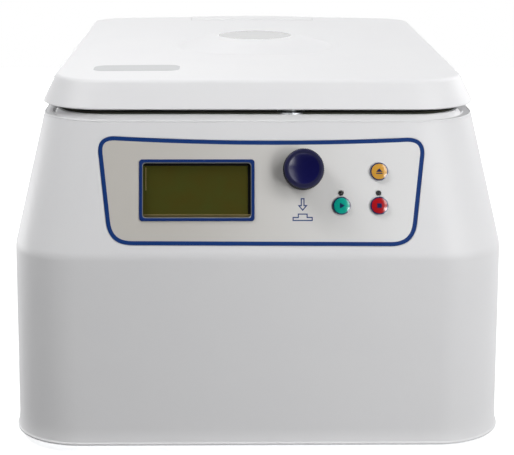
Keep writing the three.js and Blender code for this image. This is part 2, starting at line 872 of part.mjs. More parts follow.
function makeInlet() {
  const face = connectorFace;
  const flangeWidth = inletBodyWidth + 2 * inletRim;
  const flangeHeight = inletBodyHeight + 2 * inletRim;
  const flange = rearBlock(inletOffset, 0, flangeWidth, flangeHeight, rearInnerY, face);
  const body = rearBlock(inletOffset, 0, inletBodyWidth, inletBodyHeight, face - inletBodyDepth, face);
  const floor = face - inletSocketDepth;
  const socket = rearBlock(inletOffset, 0, inletSocketWidth, inletSocketHeight, floor, face + overrun);
  const pins = [-inletPinReach, 0, inletPinReach].map((reach) => {
    const offset = inletOffset + reach;
    const tip = floor + inletPinLength;
    return rearBlock(offset, inletPinDrop, inletPinWidth, inletPinHeight, floor - looseFit, tip);
  });
  return join(cut(join(flange, body), socket), ...pins);
}

function makeRockerFrame() {
  const face = connectorFace;
  const frameHeight = rockerBodyHeight + 2 * rockerRim;
  const flange = rearBlock(rockerOffset, 0, rockerFrameWidth, frameHeight, rearInnerY, face);
  const body = rearBlock(rockerOffset, 0, rockerBodyWidth, rockerBodyHeight, face - rockerBodyDepth, face);
  const wellWidth = rockerWidth + 2 * slideFit;
  const wellHeight = rockerHeight + 2 * slideFit;
  const well = rearBlock(rockerOffset, 0, wellWidth, wellHeight, face - rockerWellDepth, face + overrun);
  const pivotX = rearCentreX + rockerOffset;
  const bore = rodAlongX(
    rockerPin + looseFit,
    pivotX - rockerFrameWidth,
    pivotX + rockerFrameWidth,
    face - rockerPivotDepth,
    rearCentreZ,
  );
  return cut(join(flange, body), well, bore);
}

// Turns a slab drawn in Y and Z, and drawn out along X, into place.
function alongX(geometry) {
  return geometry.rotateY(Math.PI / 2).rotateX(Math.PI / 2);
}

// The rocker is drawn about its pivot, out of the machine and up: its outer face folds in at the middle.
function makeRocker() {
  const half = rockerHeight / 2 - slideFit;
  const fold = half * Math.tan(THREE.MathUtils.degToRad(rockerTilt));
  const foot = rockerPivotDepth - rockerDepth;
  const top = rockerPivotDepth + rockerRise;
  const shape = new THREE.Shape([
    new THREE.Vector2(foot, fold - half),
    new THREE.Vector2(top, slideFit - half),
    new THREE.Vector2(top - fold, 0),
    new THREE.Vector2(top, half - slideFit),
    new THREE.Vector2(foot, half - fold),
  ]);
  const body = alongX(slab(shape, -rockerWidth / 2, rockerWidth / 2));
  const pinHalf = rockerBodyWidth / 2 - rockerPinMargin;
  return join(body, rodAlongX(rockerPin, -pinHalf, pinHalf, 0, 0, smallSteps));
}

// Control panel pieces, drawn in the panel's sloping frame

function makeOverlay() {
  const tools = panelHoles(overlayBack - overrun, overlayFace + overrun);
  return cut(slab(overlayShape(0), overlayBack, overlayFace), ...tools);
}

function makeBezel() {
  const foot = overlayFace + looseFit;
  const top = foot + bezelProud;
  const rim = slab(displayShape(0), foot, top);
  const sleeve = slab(displayShape(bezelRim - bezelSleeve), -bezelSleeveDepth, top);
  const clear = slab(displayShape(bezelRim), -bezelSleeveDepth - overrun, top + overrun);
  return cut(join(rim, sleeve), clear);
}

function makeDisplayModule() {
  const front = -moduleFront;
  const body = block(
    displayLeft - moduleMargin,
    displayRight + moduleMargin,
    displayFoot - moduleMargin,
    displayTop + moduleMargin,
    front - moduleDepth,
    front,
  );
  const inset = bezelRim + looseFit;
  const glass = block(
    displayLeft + inset,
    displayRight - inset,
    displayFoot + inset,
    displayTop - inset,
    front - moduleDepth / 2,
    front + moduleGlass,
  );
  return join(body, glass);
}

function makeDisplayBoard() {
  return block(boardLeft, boardRight, boardFoot, boardTop, -boardDepth - boardThickness, -boardDepth);
}

function makeEncoderBody() {
  const half = encoderSize / 2;
  const front = -moduleFront;
  const back = -boardDepth + looseFit;
  const body = block(knobX - half, knobX + half, knobY - half, knobY + half, back, front);
  return cut(body, rod(encoderShaft + encoderRunning, back - overrun, front + overrun, knobX, knobY));
}

function makeEncoderShaft() {
  return rod(encoderShaft, -encoderShaftBack, encoderShaftFront, knobX, knobY);
}

function makePlunger() {
  return rod(encoderShaft, -plungerBack, -plungerBack + plungerThickness, knobX, knobY, smallSteps);
}

function makeKnob() {
  const foot = overlayFace + knobGap;
  const top = foot + knobHeight;
  const bore = encoderShaftFront + looseFit;
  const [dishRadiusShare, dishDepthShare] = knobDishShares;
  return turned([
    [encoderShaft + encoderRunning, foot],
    [knobRadius, foot],
    [knobRadius, top - knobDishDepth],
    [knobFaceRadius, top],
    [knobDish, top],
    [knobDish * dishRadiusShare, top - knobDishDepth * dishDepthShare],
    [0, top - knobDishDepth],
    [0, bore],
    [encoderShaft + encoderRunning, bore],
    [encoderShaft + encoderRunning, foot],
  ]).translate(knobX, knobY, 0);
}

function makeButton([x, y]) {
  const foot = overlayFace + buttonGap;
  const edge = foot + buttonEdge;
  const dome = buttonDomeShares.map(([outShare, upShare]) => {
    return [buttonRadius * outShare, edge + buttonDome * upShare];
  });
  return turned([
    [0, -buttonStemBack],
    [buttonStem, -buttonStemBack],
    [buttonStem, foot],
    [buttonRadius, foot],
    [buttonRadius, edge],
    ...dome,
    [0, edge + buttonDome],
  ], tubeSteps).translate(x, y, 0);
}

function makeSwitch([x, y]) {
  const half = switchSize / 2;
  return block(x - half, x + half, y - half, y + half, looseFit - boardDepth, -switchFront);
}

function makeLed([x, y]) {
  const edge = overlayFace + ledProud;
  const dome = ledDomeShares.map(([outShare, upShare]) => {
    return [ledRadius * outShare, edge + ledRadius * upShare];
  });
  return turned([
    [0, looseFit - boardDepth],
    [ledRadius, looseFit - boardDepth],
    [ledRadius, edge],
    ...dome,
    [0, edge + ledRadius],
  ], smallSteps).translate(x, y, 0);
}

// Lid

// One level of the lid's skirt: its height, the share of the slope reached there, an inset all round
// and one more at the back.
function lidRing([height, slopeShare, inset, backInset = 0]) {
  return roundedRing(
    lidHalf - lidSlopeSide * slopeShare - inset,
    lidFront - lidSlopeFront * slopeShare - inset,
    lidBack - lidSlopeBack * slopeShare - inset - backInset,
    lidCorner + (lidKinkCorner - lidCorner) * slopeShare - inset,
    height,
    lidSideSteps,
  );
}

function smoothShare(value) {
  const share = Math.min(Math.max(value, 0), 1);
  return share * share * (3 - 2 * share);
}

// The crown grows from the lid's front edge and is highest in the middle.
function crownHeight(x, y) {
  const across = 1 - Math.min(Math.abs(x) / (lidHalf - lidSlopeSide), 1) ** 2;
  return lidCrown * across * smoothShare((y + lidFront - lidSlopeFront) / lidCrownStart);
}

// Height of the lid's top surface: the crown, with a soft cone under the window.
function lidTopHeight(x, y) {
  const crown = crownHeight(x, y);
  const cone = smoothShare((bossFoot - Math.hypot(x, y)) / (bossFoot - bossRim));
  return lidKink + crown + (bossTop - lidKink - crown) * cone;
}

// The lid's solid form. An inset form is the hollow inside it, and runs on below the lid's foot.
function lidForm(inset) {
  const reliefTop = [lidFoot + lidBackReliefHeight, lidBackReliefHeight / lidSkirt, inset];
  const levels = [];
  if (inset === 0) {
    const [upShare, inShare] = lidEdgeShares;
    const [footShare, edgeShare, widestShare] = lidBackReliefShares;
    levels.push([lidFoot, 0, lidEdgeInset, lidBackRelief * footShare]);
    levels.push([lidFoot + lidEdgeHeight * upShare, 0, lidEdgeInset * inShare, lidBackRelief * edgeShare]);
    levels.push([lidFoot + lidEdgeHeight, lidEdgeHeight / lidSkirt, 0, lidBackRelief * widestShare]);
  } else {
    levels.push([lidFoot - overrun, 0, inset, lidBackRelief]);
    levels.push([lidFoot, 0, inset, lidBackRelief]);
  }
  const underKink = [lidKink - lidKinkRound - inset, 1 - (lidKinkRound + inset) / lidSkirt, inset];
  const overKink = [lidKink - inset, 1, inset + lidKinkRound];
  levels.push(reliefTop, ...alongCurve(underKink, [lidKink - inset, 1, inset], overKink));
  const rings = levels.map(([height, slopeShare, ringInset, backInset]) => {
    const ring = lidRing([height, slopeShare, ringInset, backInset]);
    for (const point of ring) point.z += crownHeight(point.x, point.y) * slopeShare;
    return ring;
  });
  // From the edge inwards the rings turn from the lid's outline into circles round the window.
  const edge = rings.at(-1);
  const inwards = (share, radius) => rings.push(edge.map((point) => onTop(point, share, radius, inset)));
  for (const share of lidTopShares) inwards(share, bossFoot);
  for (const share of bossRingShares) inwards(1, bossFoot * share);
  inwards(1, bossRim - bossRimRound);
  return loft(rings);
}

// A point of the lid's edge, moved inwards over the top by a share of its way to a circle.
function onTop(point, share, radius, drop) {
  const angle = Math.atan2(point.y, point.x);
  const x = point.x + (radius * Math.cos(angle) - point.x) * share;
  const y = point.y + (radius * Math.sin(angle) - point.y) * share;
  return new THREE.Vector3(x, y, lidTopHeight(x, y) - drop);
}

// The room in the lid for the hinge cover, with a margin round it.
function notch(margin) {
  const half = coverHalf + notchSideGap + margin;
  const front = hingeY - coverFrontReach - notchFrontGap - margin;
  return block(-half, half, front, lidBack + overrun, lidFoot - 2 * overrun, bossTop + overrun);
}

const pillarPlaces = [-1, 1].flatMap((x) => [-1, 0, 1].map((y) => [x * lidPillarX, y * lidPillarY]));

function badgeOutline(margin) {
  const halfWidth = badgeWidth / 2 + margin;
  const ring = roundedRing(badgeLength / 2 + margin, halfWidth, halfWidth, badgeCorner + margin, 0);
  return ring.map((point) => new THREE.Vector3(point.x + badgeX, point.y + badgeY, 0));
}

// A thin plate that follows the lid's top between two depths under it.
function badgePlate(margin, low, high) {
  const outline = badgeOutline(margin);
  const layer = (depth) => badgeRingShares.map((share) => outline.map((point) => {
    const x = badgeX + (point.x - badgeX) * share;
    const y = badgeY + (point.y - badgeY) * share;
    return new THREE.Vector3(x, y, lidTopHeight(x, y) + depth);
  }));
  return loft([...layer(low).reverse(), ...layer(high)]);
}

function makeLidShell() {
  const hollow = cut(lidForm(lidWall), notch(lidWall));
  const pillars = pillarPlaces.map(([x, y]) => {
    return rod(lidPillar, linerTop, lidTopHeight(x, y) - lidWall / 2, x, y, smallSteps);
  });
  const shell = join(cut(lidForm(0), notch(0), hollow), ...pillars);
  const paneSeat = bossTop - paneRecess;
  const tools = [
    rod(windowRadius, paneSeat - overrun, bossTop + overrun),
    rod(paneRadius + looseFit, lidFoot, paneSeat),
    rodAlongX(hingePin + slideFit, -hingePinHalf - overrun, hingePinHalf + overrun, hingeY, hingeZ),
    badgePlate(looseFit, -badgeThickness - looseFit + badgeProud, overrun),
  ];
  return cut(shell, ...tools);
}

function makeLiner() {
  const inset = lidWall + linerGap;
  const foot = lidRing([lidFoot, 0, inset, lidBackRelief]);
  const top = lidRing([linerTop, linerThickness / lidSkirt, inset, lidBackRelief]);
  return cut(
    loft([foot, top]),
    notch(inset),
    rod(windowRadius + sleeveWall + looseFit, lidFoot - overrun, linerTop + overrun),
    rod(strikerRadius + looseFit, lidFoot - overrun, linerTop + overrun, latchX, latchY),
  );
}

function makeSleeve() {
  const top = bossTop - paneRecess - paneThickness - 2 * looseFit;
  const outer = windowRadius + sleeveWall;
  return turned([
    [windowRadius, lidFoot],
    [outer, lidFoot],
    [outer, linerTop],
    [outer + sleeveFlange, linerTop],
    [outer + sleeveFlange, linerTop + sleeveFlangeThickness],
    [outer, linerTop + sleeveFlangeThickness],
    [outer, top],
    [windowRadius, top],
    [windowRadius, lidFoot],
  ]);
}

function makePane() {
  const top = bossTop - paneRecess - looseFit;
  return rod(paneRadius, top - paneThickness, top);
}

function makeStriker() {
  const [tipOutShare, tipUpShare] = strikerTipShares;
  const post = turned([
    [0, strikerFoot],
    [strikerRadius * tipOutShare, strikerFoot],
    [strikerRadius, strikerFoot + strikerRadius * tipUpShare],
    [strikerRadius, linerTop + strikerHeadHeight],
    [0, linerTop + strikerHeadHeight],
  ], smallSteps).translate(latchX, latchY, 0);
  const head = block(
    latchX - strikerHead,
    latchX + strikerHead,
    latchY - strikerRadius,
    latchY + strikerHead,
    linerTop,
    linerTop + strikerHeadHeight,
  );
  const half = boltWidth / 2 + slideFit;
  const rise = boltHeight / 2 + slideFit;
  const reach = strikerRadius + overrun;
  const [slotLeft, slotRight] = [latchX - reach, latchX + reach];
  const slot = block(slotLeft, slotRight, latchY - half, latchY + half, boltZ - rise, boltZ + rise);
  return cut(join(post, head), slot);
}

function makeHingeArm(side) {
  const span = (width) => [side * hingeArmX, side * (hingeArmX + width)].sort((a, b) => a - b);
  const [low, high] = span(hingeArmThickness);
  const [footLow, footHigh] = span(hingeArmFootWidth);
  const front = hingeY + hingeArmRadius - hingeArmLength;
  const foot = block(footLow, footHigh, front, hingeY, linerTop, linerTop + hingeArmFoot);
  const web = block(low, high, front, hingeY, linerTop, hingeZ);
  const eye = rodAlongX(hingeArmRadius, low, high, hingeY, hingeZ);
  const bore = rodAlongX(hingePin + looseFit, low - overrun, high + overrun, hingeY, hingeZ);
  return cut(join(foot, web, eye), bore);
}

// Hinge

function makeHingePin() {
  return rodAlongX(hingePin, -hingePinHalf, hingePinHalf, hingeY, hingeZ);
}

function makeHingeBracket() {
  const top = plinthTop + hingeBracketThickness;
  const y0 = hingeY - hingeEarHalf;
  const y1 = hingeY + hingeEarHalf;
  const base = block(-hingeBracketHalf, hingeBracketHalf, y0, y1, plinthTop, top);
  const ears = [-1, 1].flatMap((side) => {
    const x0 = side * hingeEarX - hingeEarThickness / 2;
    const x1 = side * hingeEarX + hingeEarThickness / 2;
    return [block(x0, x1, y0, y1, plinthTop, hingeZ), rodAlongX(hingeEarHalf, x0, x1, hingeY, hingeZ)];
  });
  const bore = rodAlongX(hingePin + looseFit, -coverHalf, coverHalf, hingeY, hingeZ);
  return cut(join(base, ...ears), bore);
}

// One section of the hinge cover across the hinge, a margin inside its outer face.
function coverSection(x, margin) {
  const front = hingeY - coverFrontReach + margin;
  const back = hingeY + coverBackReach - margin;
  const top = hingeZ + coverRise - coverCrown * (x / coverHalf) ** 2 - margin;
  const foot = margin > 0 ? plinthTop - overrun : plinthTop;
  const rounds = [[back, -1, coverBackRound - margin], [front, 1, coverFrontRound - margin]];
  const corners = rounds.map(([y, inwards, radius]) => {
    return alongCurve([y, top - radius], [y, top], [y + inwards * radius, top], curveSteps);
  });
  const outline = [[front, foot], [back, foot], ...corners[0], ...corners[1].reverse()];
  return outline.map(([y, z]) => new THREE.Vector3(x, y, z));
}

function coverForm(margin) {
  return loft(coverSpanShares.map((share) => coverSection((coverHalf - margin) * share, margin)));
}

function makeHingeCover() {
  const bore = rodAlongX(hingePin + looseFit, -coverHalf - overrun, coverHalf + overrun, hingeY, hingeZ);
  return cut(coverForm(0), coverForm(coverWall), bore);
}

// Latch

function makeCollar() {
  const tube = collarBore + collarWall;
  const top = plinthTop + collarFlangeHeight;
  return turned([
    [collarBore, plinthTop - collarDepth],
    [tube, plinthTop - collarDepth],
    [tube, plinthTop],
    [collarFlange, plinthTop],
    [collarFlange, top],
    [collarBore, top],
    [collarBore, plinthTop - collarDepth],
  ]).translate(latchX, latchY, 0);
}

// A passage for the bolt through what guides it.
function boltPassage(x0, x1) {
  const half = boltWidth / 2 + looseFit;
  const rise = boltHeight / 2 + looseFit;
  return block(x0, x1, latchY - half, latchY + half, boltZ - rise, boltZ + rise);
}

function makeLatchBracket() {
  const x0 = latchX + latchPlateStart;
  const x1 = latchMotorEnd + latchPlateEnd;
  const back = latchPlateY + latchPlateThickness;
  const plate = block(x0, x1, latchPlateY, back, deckUnder - latchPlateDrop, deckUnder);
  const flangeBack = latchPlateY + latchPlateFlange;
  const flange = block(x0, x1, latchPlateY, flangeBack, deckUnder - latchPlateThickness, deckUnder);
  const guideEnd = boltGuide + boltGuideLength;
  const rise = boltHeight / 2 + boltGuideRise;
  const guide = block(boltGuide, guideEnd, latchY - boltGuideHalf, back, boltZ - rise, boltZ + rise);
  return cut(join(plate, flange, guide), boltPassage(boltGuide - overrun, guideEnd + overrun));
}

function makeLatchMotor() {
  const front = latchPlateY - latchMotorDepth;
  const low = boltZ - latchMotorHalf;
  const body = block(latchMotorStart, latchMotorEnd, front, latchPlateY, low, boltZ + latchMotorHalf);
  return cut(body, boltPassage(latchMotorStart - overrun, boltTail + looseFit));
}

function makeBolt() {
  const half = boltWidth / 2;
  const rise = boltHeight / 2;
  return block(boltTip, boltTail, latchY - half, latchY + half, boltZ - rise, boltZ + rise);
}

// Chamber

function makeBowl() {
  const floor = bowlFloor - bowlWall;
  const outer = bowlRadius + bowlWall;
  const flangeFoot = deckUnder - bowlWall;
  const bend = bowlCorner * (1 - Math.SQRT1_2);
  return turned([
    [bowlHole, floor],
    [outer - bowlCorner, floor],
    [outer - bend, floor + bend],
    [outer, floor + bowlCorner],
    [outer, flangeFoot],
    [bowlFlange, flangeFoot],
    [bowlFlange, deckUnder],
    [bowlRadius, deckUnder],
    [bowlRadius, floor + bowlCorner],
    [bowlRadius - bend, bowlFloor + bend],
    [bowlRadius - bowlCorner + bowlWall, bowlFloor],
    [bowlHole, bowlFloor],
    [bowlHole, floor],
  ], wideSteps);
}

function makeGasket() {
  const outer = chamberOpening - looseFit;
  const inner = outer - gasketSkirt;
  const top = lidFoot - looseFit;
  return turned([
    [inner, plinthTop - gasketDrop],
    [outer, plinthTop - gasketDrop],
    [outer, plinthTop],
    [inner + gasketWidth, plinthTop],
    [inner + gasketWidth, (plinthTop + top) / 2],
    [inner + gasketWidth / 2, top],
    [inner, top],
    [inner, plinthTop - gasketDrop],
  ], wideSteps);
}

// Drive

function damperAngle(index) {
  return Math.PI / 2 + (index * 2 * Math.PI) / damperCount;
}

function makeDamper(index) {
  const top = baseTop + damperHeight;
  const angle = damperAngle(index);
  return turned([
    [0, baseTop],
    [damperRadius, baseTop],
    [damperRadius, baseTop + damperHeight * damperEdgeShare],
    [damperWaist, baseTop + damperHeight / 2],
    [damperRadius, top - damperHeight * damperEdgeShare],
    [damperRadius, top],
    [0, top],
  ], smallSteps).translate(damperReach * Math.cos(angle), damperReach * Math.sin(angle), 0);
}

function makeMountPlate() {
  return rod(mountRadius, baseTop + damperHeight, motorFoot);
}

function makeMotorBody() {
  const neckTop = motorTop + motorNeckHeight;
  const bore = shaftRadius + looseFit;
  return turned([
    [0, motorFoot],
    [motorRadius, motorFoot],
    [motorRadius, motorTop - motorBevel],
    [motorRadius - motorBevel, motorTop],
    [motorNeck, motorTop],
    [motorNeck, neckTop],
    [bore, neckTop],
    [bore, neckTop - motorBoreDepth],
    [0, neckTop - motorBoreDepth],
  ]);
}

function makeBoot() {
  const foot = motorTop + looseFit;
  const top = bowlFloor - bowlWall - looseFit;
  const neck = motorNeck + looseFit;
  return turned([
    [neck, foot],
    [neck + bootWall, foot],
    [neck + bootWall, foot + motorNeckHeight],
    [bootFlange, top - bootWall],
    [bootFlange, top],
    [bootFlange - 2 * bootWall, top],
    [neck, foot + motorNeckHeight],
    [neck, foot],
  ]);
}

function makeMotorShaft() {
  const foot = motorTop + motorNeckHeight - motorBoreDepth + looseFit;
  const tip = rotorTop + looseFit;
  return turned([
    [0, foot],
    [shaftRadius, foot],
    [shaftRadius, rotorFoot - shaftFlangeHeight],
    [shaftFlange, rotorFoot - shaftFlangeHeight],
    [shaftFlange, rotorFoot],
    [shaftRadius, rotorFoot],
    [shaftRadius, tip - shaftTipLength / 2],
    [shaftTip, tip - shaftTipLength / 2],
    [shaftTip, tip + shaftTipLength / 2],
    [0, tip + shaftTipLength / 2],
  ]);
}

function makeRotor() {
  const hubTop = rotorTop - rotorHubDish;
  const bore = shaftRadius + looseFit;
  const body = turned([
    [bore, rotorFoot],
    [rotorRadius - rotorBevel, rotorFoot],
    [rotorRadius, rotorFoot + rotorBevel],
    [rotorRadius, rotorFoot + 2 * rotorBevel],
    [rotorTopRadius, rotorTop - rotorLip],
    [rotorTopRadius - rotorLip, rotorTop],
    [rotorTopRadius - 2 * rotorLip, rotorTop],
    [rotorHub + rotorLip, rotorTop - rotorDish],
    [rotorHub, hubTop],
    [bore, hubTop],
    [bore, rotorFoot],
  ], wideSteps);
  const bores = [];
  for (let i = 0; i < tubeCount; i++) {
    const hole = rod(tubeRadius, -tubeDepth, overrun + tubeRadius, 0, 0, tubeSteps);
    hole.rotateY(-tubeLean).translate(tubeMouth, 0, rotorTop - tubeMouthDrop);
    bores.push(hole.rotateZ((i * 2 * Math.PI) / tubeCount));
  }
  return cut(body, ...bores);
}

function makeNut() {
  const foot = rotorTop - rotorHubDish;
  const bore = shaftTip + looseFit;
  const well = rotorTop + shaftTipLength / 2 + 2 * looseFit;
  const top = well + nutCap;
  const wide = shaftRadius + looseFit;
  return turned([
    [wide, foot],
    [nutRadius - nutBevel, foot],
    [nutRadius, foot + nutBevel],
    [nutRadius, top - nutBevel],
    [nutRadius - nutBevel, top],
    [0, top],
    [0, well],
    [bore, well],
    [bore, foot + nutBevel],
    [wide, foot],
  ], nutSides);
}

// Electronics on the base plate

function makeDriveBoard() {
  const foot = baseTop + driveBoardRise;
  const top = foot + boardThickness;
  const right = driveBoardX + driveBoardWidth;
  const half = driveBoardLength / 2;
  const postY = half - driveBoardPostInset;
  const pieces = [];
  for (const x of [driveBoardX + driveBoardPostInset, right - driveBoardPostInset]) {
    for (const y of [-postY, postY]) pieces.push(rod(driveBoardPost, baseTop, top, x, y, smallSteps));
  }
  const middle = driveBoardX + driveBoardWidth / 2;
  const seat = foot + boardThickness / 2;
  for (let i = 0; i < capacitorCount; i++) {
    pieces.push(rod(capacitorRadius, seat, top + capacitorHeight, middle, -i * capacitorPitch, smallSteps));
  }
  const sinkHalf = sinkWidth / 2;
  const sinkEnd = sinkStart + sinkLength;
  pieces.push(block(middle - sinkHalf, middle + sinkHalf, sinkStart, sinkEnd, seat, top + sinkHeight));
  return join(block(driveBoardX, right, -half, half, foot, top), ...pieces);
}

function makeTransformer() {
  const halfX = transformerWidth / 2;
  const top = baseTop + transformerHeight;
  const front = transformerY - transformerLength / 2;
  const back = transformerY + transformerLength / 2;
  const core = block(transformerX - halfX, transformerX + halfX, front, back, baseTop, top);
  const coil = block(
    transformerX - halfX - coilProud,
    transformerX + halfX + coilProud,
    front + coilMargin,
    back - coilMargin,
    baseTop + coilMargin,
    top - coilMargin,
  );
  return join(core, coil);
}

// The assembly

const centrifuge = new THREE.Group();
const panel = new THREE.Group();
panel.applyMatrix4(panelPlane);
centrifuge.add(panel);

function add(name, geometry, material, parent = centrifuge) {
  const mesh = new THREE.Mesh(toGeometry(toSolid(geometry)), material);
  mesh.name = name;
  parent.add(mesh);
  return mesh;
}

add("housing_shell", makeHousing(), whiteAbs);
add("base_plate", makeBasePlate(), zincSteel);
for (const [place, [x, y]] of Object.entries(footPlaces)) {
  add(`foot_${place}`, makeFoot(), blackRubber).position.set(x, y, 0);
}
for (const [place, [x, y]] of Object.entries(baseScrewPlaces)) {
  add(`base_screw_${place}`, makeBaseScrew(), zincSteel).position.set(x, y, 0);
}
add("rear_plate", makeRearPlate(), zincSteel);
add("power_inlet", makeInlet(), darkPlastic);
add("rocker_frame", makeRockerFrame(), darkPlastic);
const rocker = add("power_rocker", makeRocker(), darkPlastic);
rocker.position.set(rearCentreX + rockerOffset, connectorFace - rockerPivotDepth, rearCentreZ);
rocker.rotation.x = THREE.MathUtils.degToRad(rockerTilt);

add("panel_overlay", makeOverlay(), overlaySilver, panel);
add("display_bezel", makeBezel(), printBlue, panel);
add("display_module", makeDisplayModule(), displayOlive, panel);
add("display_board", makeDisplayBoard(), boardGreen, panel);
add("encoder_body", makeEncoderBody(), darkPlastic, panel);
add("encoder_plunger", makePlunger(), darkPlastic, panel);
add("encoder_shaft", makeEncoderShaft(), zincSteel, panel);
add("knob", makeKnob(), knobNavy, panel);
add("led_start", makeLed(ledPlaces.start), ledBlack, panel);
add("led_stop", makeLed(ledPlaces.stop), ledBlack, panel);
const buttonFinish = { open: buttonAmber, start: buttonTeal, stop: buttonRed };
for (const [use, place] of Object.entries(buttonPlaces)) {
  add(`button_${use}`, makeButton(place), buttonFinish[use], panel);
  add(`switch_${use}`, makeSwitch(place), darkPlastic, panel);
}

add("lid_shell", makeLidShell(), whiteAbs);
add("lid_liner", makeLiner(), innerAbs);
add("window_sleeve", makeSleeve(), innerAbs);
add("window_pane", makePane(), paneGrey);
add("lid_badge", badgePlate(0, badgeProud - badgeThickness, badgeProud), badgeGrey);
add("lid_striker", makeStriker(), brushedSteel);
add("hinge_arm_left", makeHingeArm(-1), zincSteel);
add("hinge_arm_right", makeHingeArm(1), zincSteel);
add("hinge_pin", makeHingePin(), brushedSteel);
add("hinge_bracket", makeHingeBracket(), zincSteel);
add("hinge_cover", makeHingeCover(), whiteAbs);

add("latch_collar", makeCollar(), brushedSteel);
add("latch_bracket", makeLatchBracket(), zincSteel);
add("latch_motor", makeLatchMotor(), darkPlastic);
add("latch_bolt", makeBolt(), brushedSteel);

add("chamber_bowl", makeBowl(), brushedSteel);
add("chamber_gasket", makeGasket(), greySilicone);
for (let i = 0; i < damperCount; i++) {
  add(`motor_damper_${i + 1}`, makeDamper(i), blackRubber);
}
add("motor_mount_plate", makeMountPlate(), zincSteel);
add("motor_body", makeMotorBody(), castMotor);
add("shaft_boot", makeBoot(), blackRubber);
add("motor_shaft", makeMotorShaft(), brushedSteel);
add("rotor_body", makeRotor(), anodised);
add("rotor_nut", makeNut(), anodised);
add("drive_board", makeDriveBoard(), boardGreen);
add("transformer", makeTransformer(), coilCopper);

export default centrifuge;
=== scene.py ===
"""Low-speed bench centrifuge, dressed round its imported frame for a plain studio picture."""
import sys
import logging
import math
from dataclasses import dataclass
from enum import Enum, auto
from typing import Iterable, Sequence

import bmesh
import bpy
from mathutils import Matrix, Vector
from mathutils.geometry import tessellate_polygon


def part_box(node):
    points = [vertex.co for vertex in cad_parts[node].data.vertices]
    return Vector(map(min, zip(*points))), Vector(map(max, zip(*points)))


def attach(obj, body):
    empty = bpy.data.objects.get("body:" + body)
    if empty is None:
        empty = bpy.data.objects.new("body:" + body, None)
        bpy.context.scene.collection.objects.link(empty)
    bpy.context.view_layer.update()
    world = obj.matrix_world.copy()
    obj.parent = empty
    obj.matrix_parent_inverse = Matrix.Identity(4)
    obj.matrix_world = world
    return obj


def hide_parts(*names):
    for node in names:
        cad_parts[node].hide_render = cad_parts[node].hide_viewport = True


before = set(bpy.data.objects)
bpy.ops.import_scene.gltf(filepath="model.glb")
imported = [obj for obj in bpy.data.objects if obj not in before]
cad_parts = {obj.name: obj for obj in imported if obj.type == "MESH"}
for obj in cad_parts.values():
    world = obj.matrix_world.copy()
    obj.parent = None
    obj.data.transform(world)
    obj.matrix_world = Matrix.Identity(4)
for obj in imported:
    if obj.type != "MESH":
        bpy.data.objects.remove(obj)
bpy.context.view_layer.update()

log = logging.getLogger("centrifuge")

MM = 0.001
TURN = 2 * math.pi
QUARTER = math.pi / 2
WHITE = (1.0, 1.0, 1.0, 1.0)
IMAGE_WIDTH = 514

# What several sub-assemblies share, in millimetres: the plinth's top, the deck's underside, the latch's place
PLINTH_TOP = 224.1
DECK_UNDER = 220.7
LATCH = (21.0, -167.98)
# How far a cutting form runs past what it cuts
SPARE = 5.0

Loop = list[Vector]
Flat = tuple[float, float]
Spot = tuple[float, float, float]
Profile = tuple[tuple[float, ...], ...]


# Small sums

def linear(code: str) -> tuple[float, float, float, float]:
    """Turns an sRGB hex colour into linear light.

    Args:
        code: Six hex digits, with or without a hash sign.
    Returns:
        Red, green, blue and alpha.
    """
    digits = code.lstrip("#")
    parts = [int(digits[i:i + 2], 16) / 255 for i in (0, 2, 4)]
    curve = [part / 12.92 if part <= 0.04045 else ((part + 0.055) / 1.055) ** 2.4 for part in parts]
    return (*curve, 1.0)


def smooth(value: float) -> float:
    """Eases a value from 0 to 1 at both ends."""
    share = min(max(value, 0.0), 1.0)
    return share * share * (3 - 2 * share)


def eased(value: float, ease: float) -> float:
    """Climbs from 0 to 1 in a straight line that is eased in and out at its ends.

    Args:
        value: How far along, cut off at 0 and 1.
        ease: Share of the way that each end takes.
    Returns:
        The height.
    """
    value = min(max(value, 0.0), 1.0)
    if value < ease:
        return value ** 2 / (2 * ease * (1 - ease))
    if value > 1 - ease:
        return 1 - (1 - value) ** 2 / (2 * ease * (1 - ease))
    return (value - ease / 2) / (1 - ease)


def bend(start: Sequence[float], via: Sequence[float], end: Sequence[float], steps: int) -> list[tuple]:
    """Follows a quadratic curve.

    Args:
        start: First point, of any number of coordinates.
        via: Control point.
        end: Last point.
        steps: Number of steps from the first point to the last.
    Returns:
        The points of the curve, both ends included.
    """
    found = []
    for step in range(steps + 1):
        share = step / steps
        rest = 1 - share
        weights = (rest * rest, 2 * rest * share, share * share)
        found.append(tuple(sum(w * v for w, v in zip(weights, values)) for values in zip(start, via, end)))
    return found


def round_ring(half: float, front: float, back: float, radius: float, height: float,
               steps: int = 14, sides: int = 1, back_radius: float | None = None) -> Loop:
    """Draws a level rounded rectangle.

    Args:
        half: Half of its width.
        front: How far it reaches towards -Y.
        back: How far it reaches towards +Y.
        radius: Radius of its corners.
        height: Its level.
        steps: Steps round each corner.
        sides: Steps along each straight side.
        back_radius: Radius of the two corners at the back, where it differs.
    Returns:
        Its points, anticlockwise from above.
    """
    rear = radius if back_radius is None else back_radius
    corners = ((half - rear, back - rear, rear), (rear - half, back - rear, rear),
               (radius - half, radius - front, radius), (half - radius, radius - front, radius))
    arcs = []
    for quarter, (x, y, bend_radius) in enumerate(corners):
        arc = []
        for step in range(steps + 1):
            angle = (quarter + step / steps) * QUARTER
            arc.append(Vector((x + bend_radius * math.cos(angle), y + bend_radius * math.sin(angle), height)))
        arcs.append(arc)
    ring = []
    for quarter, arc in enumerate(arcs):
        following = arcs[(quarter + 1) % len(arcs)][0]
        ring += arc
        ring += [arc[-1].lerp(following, step / sides) for step in range(1, sides)]
    return ring


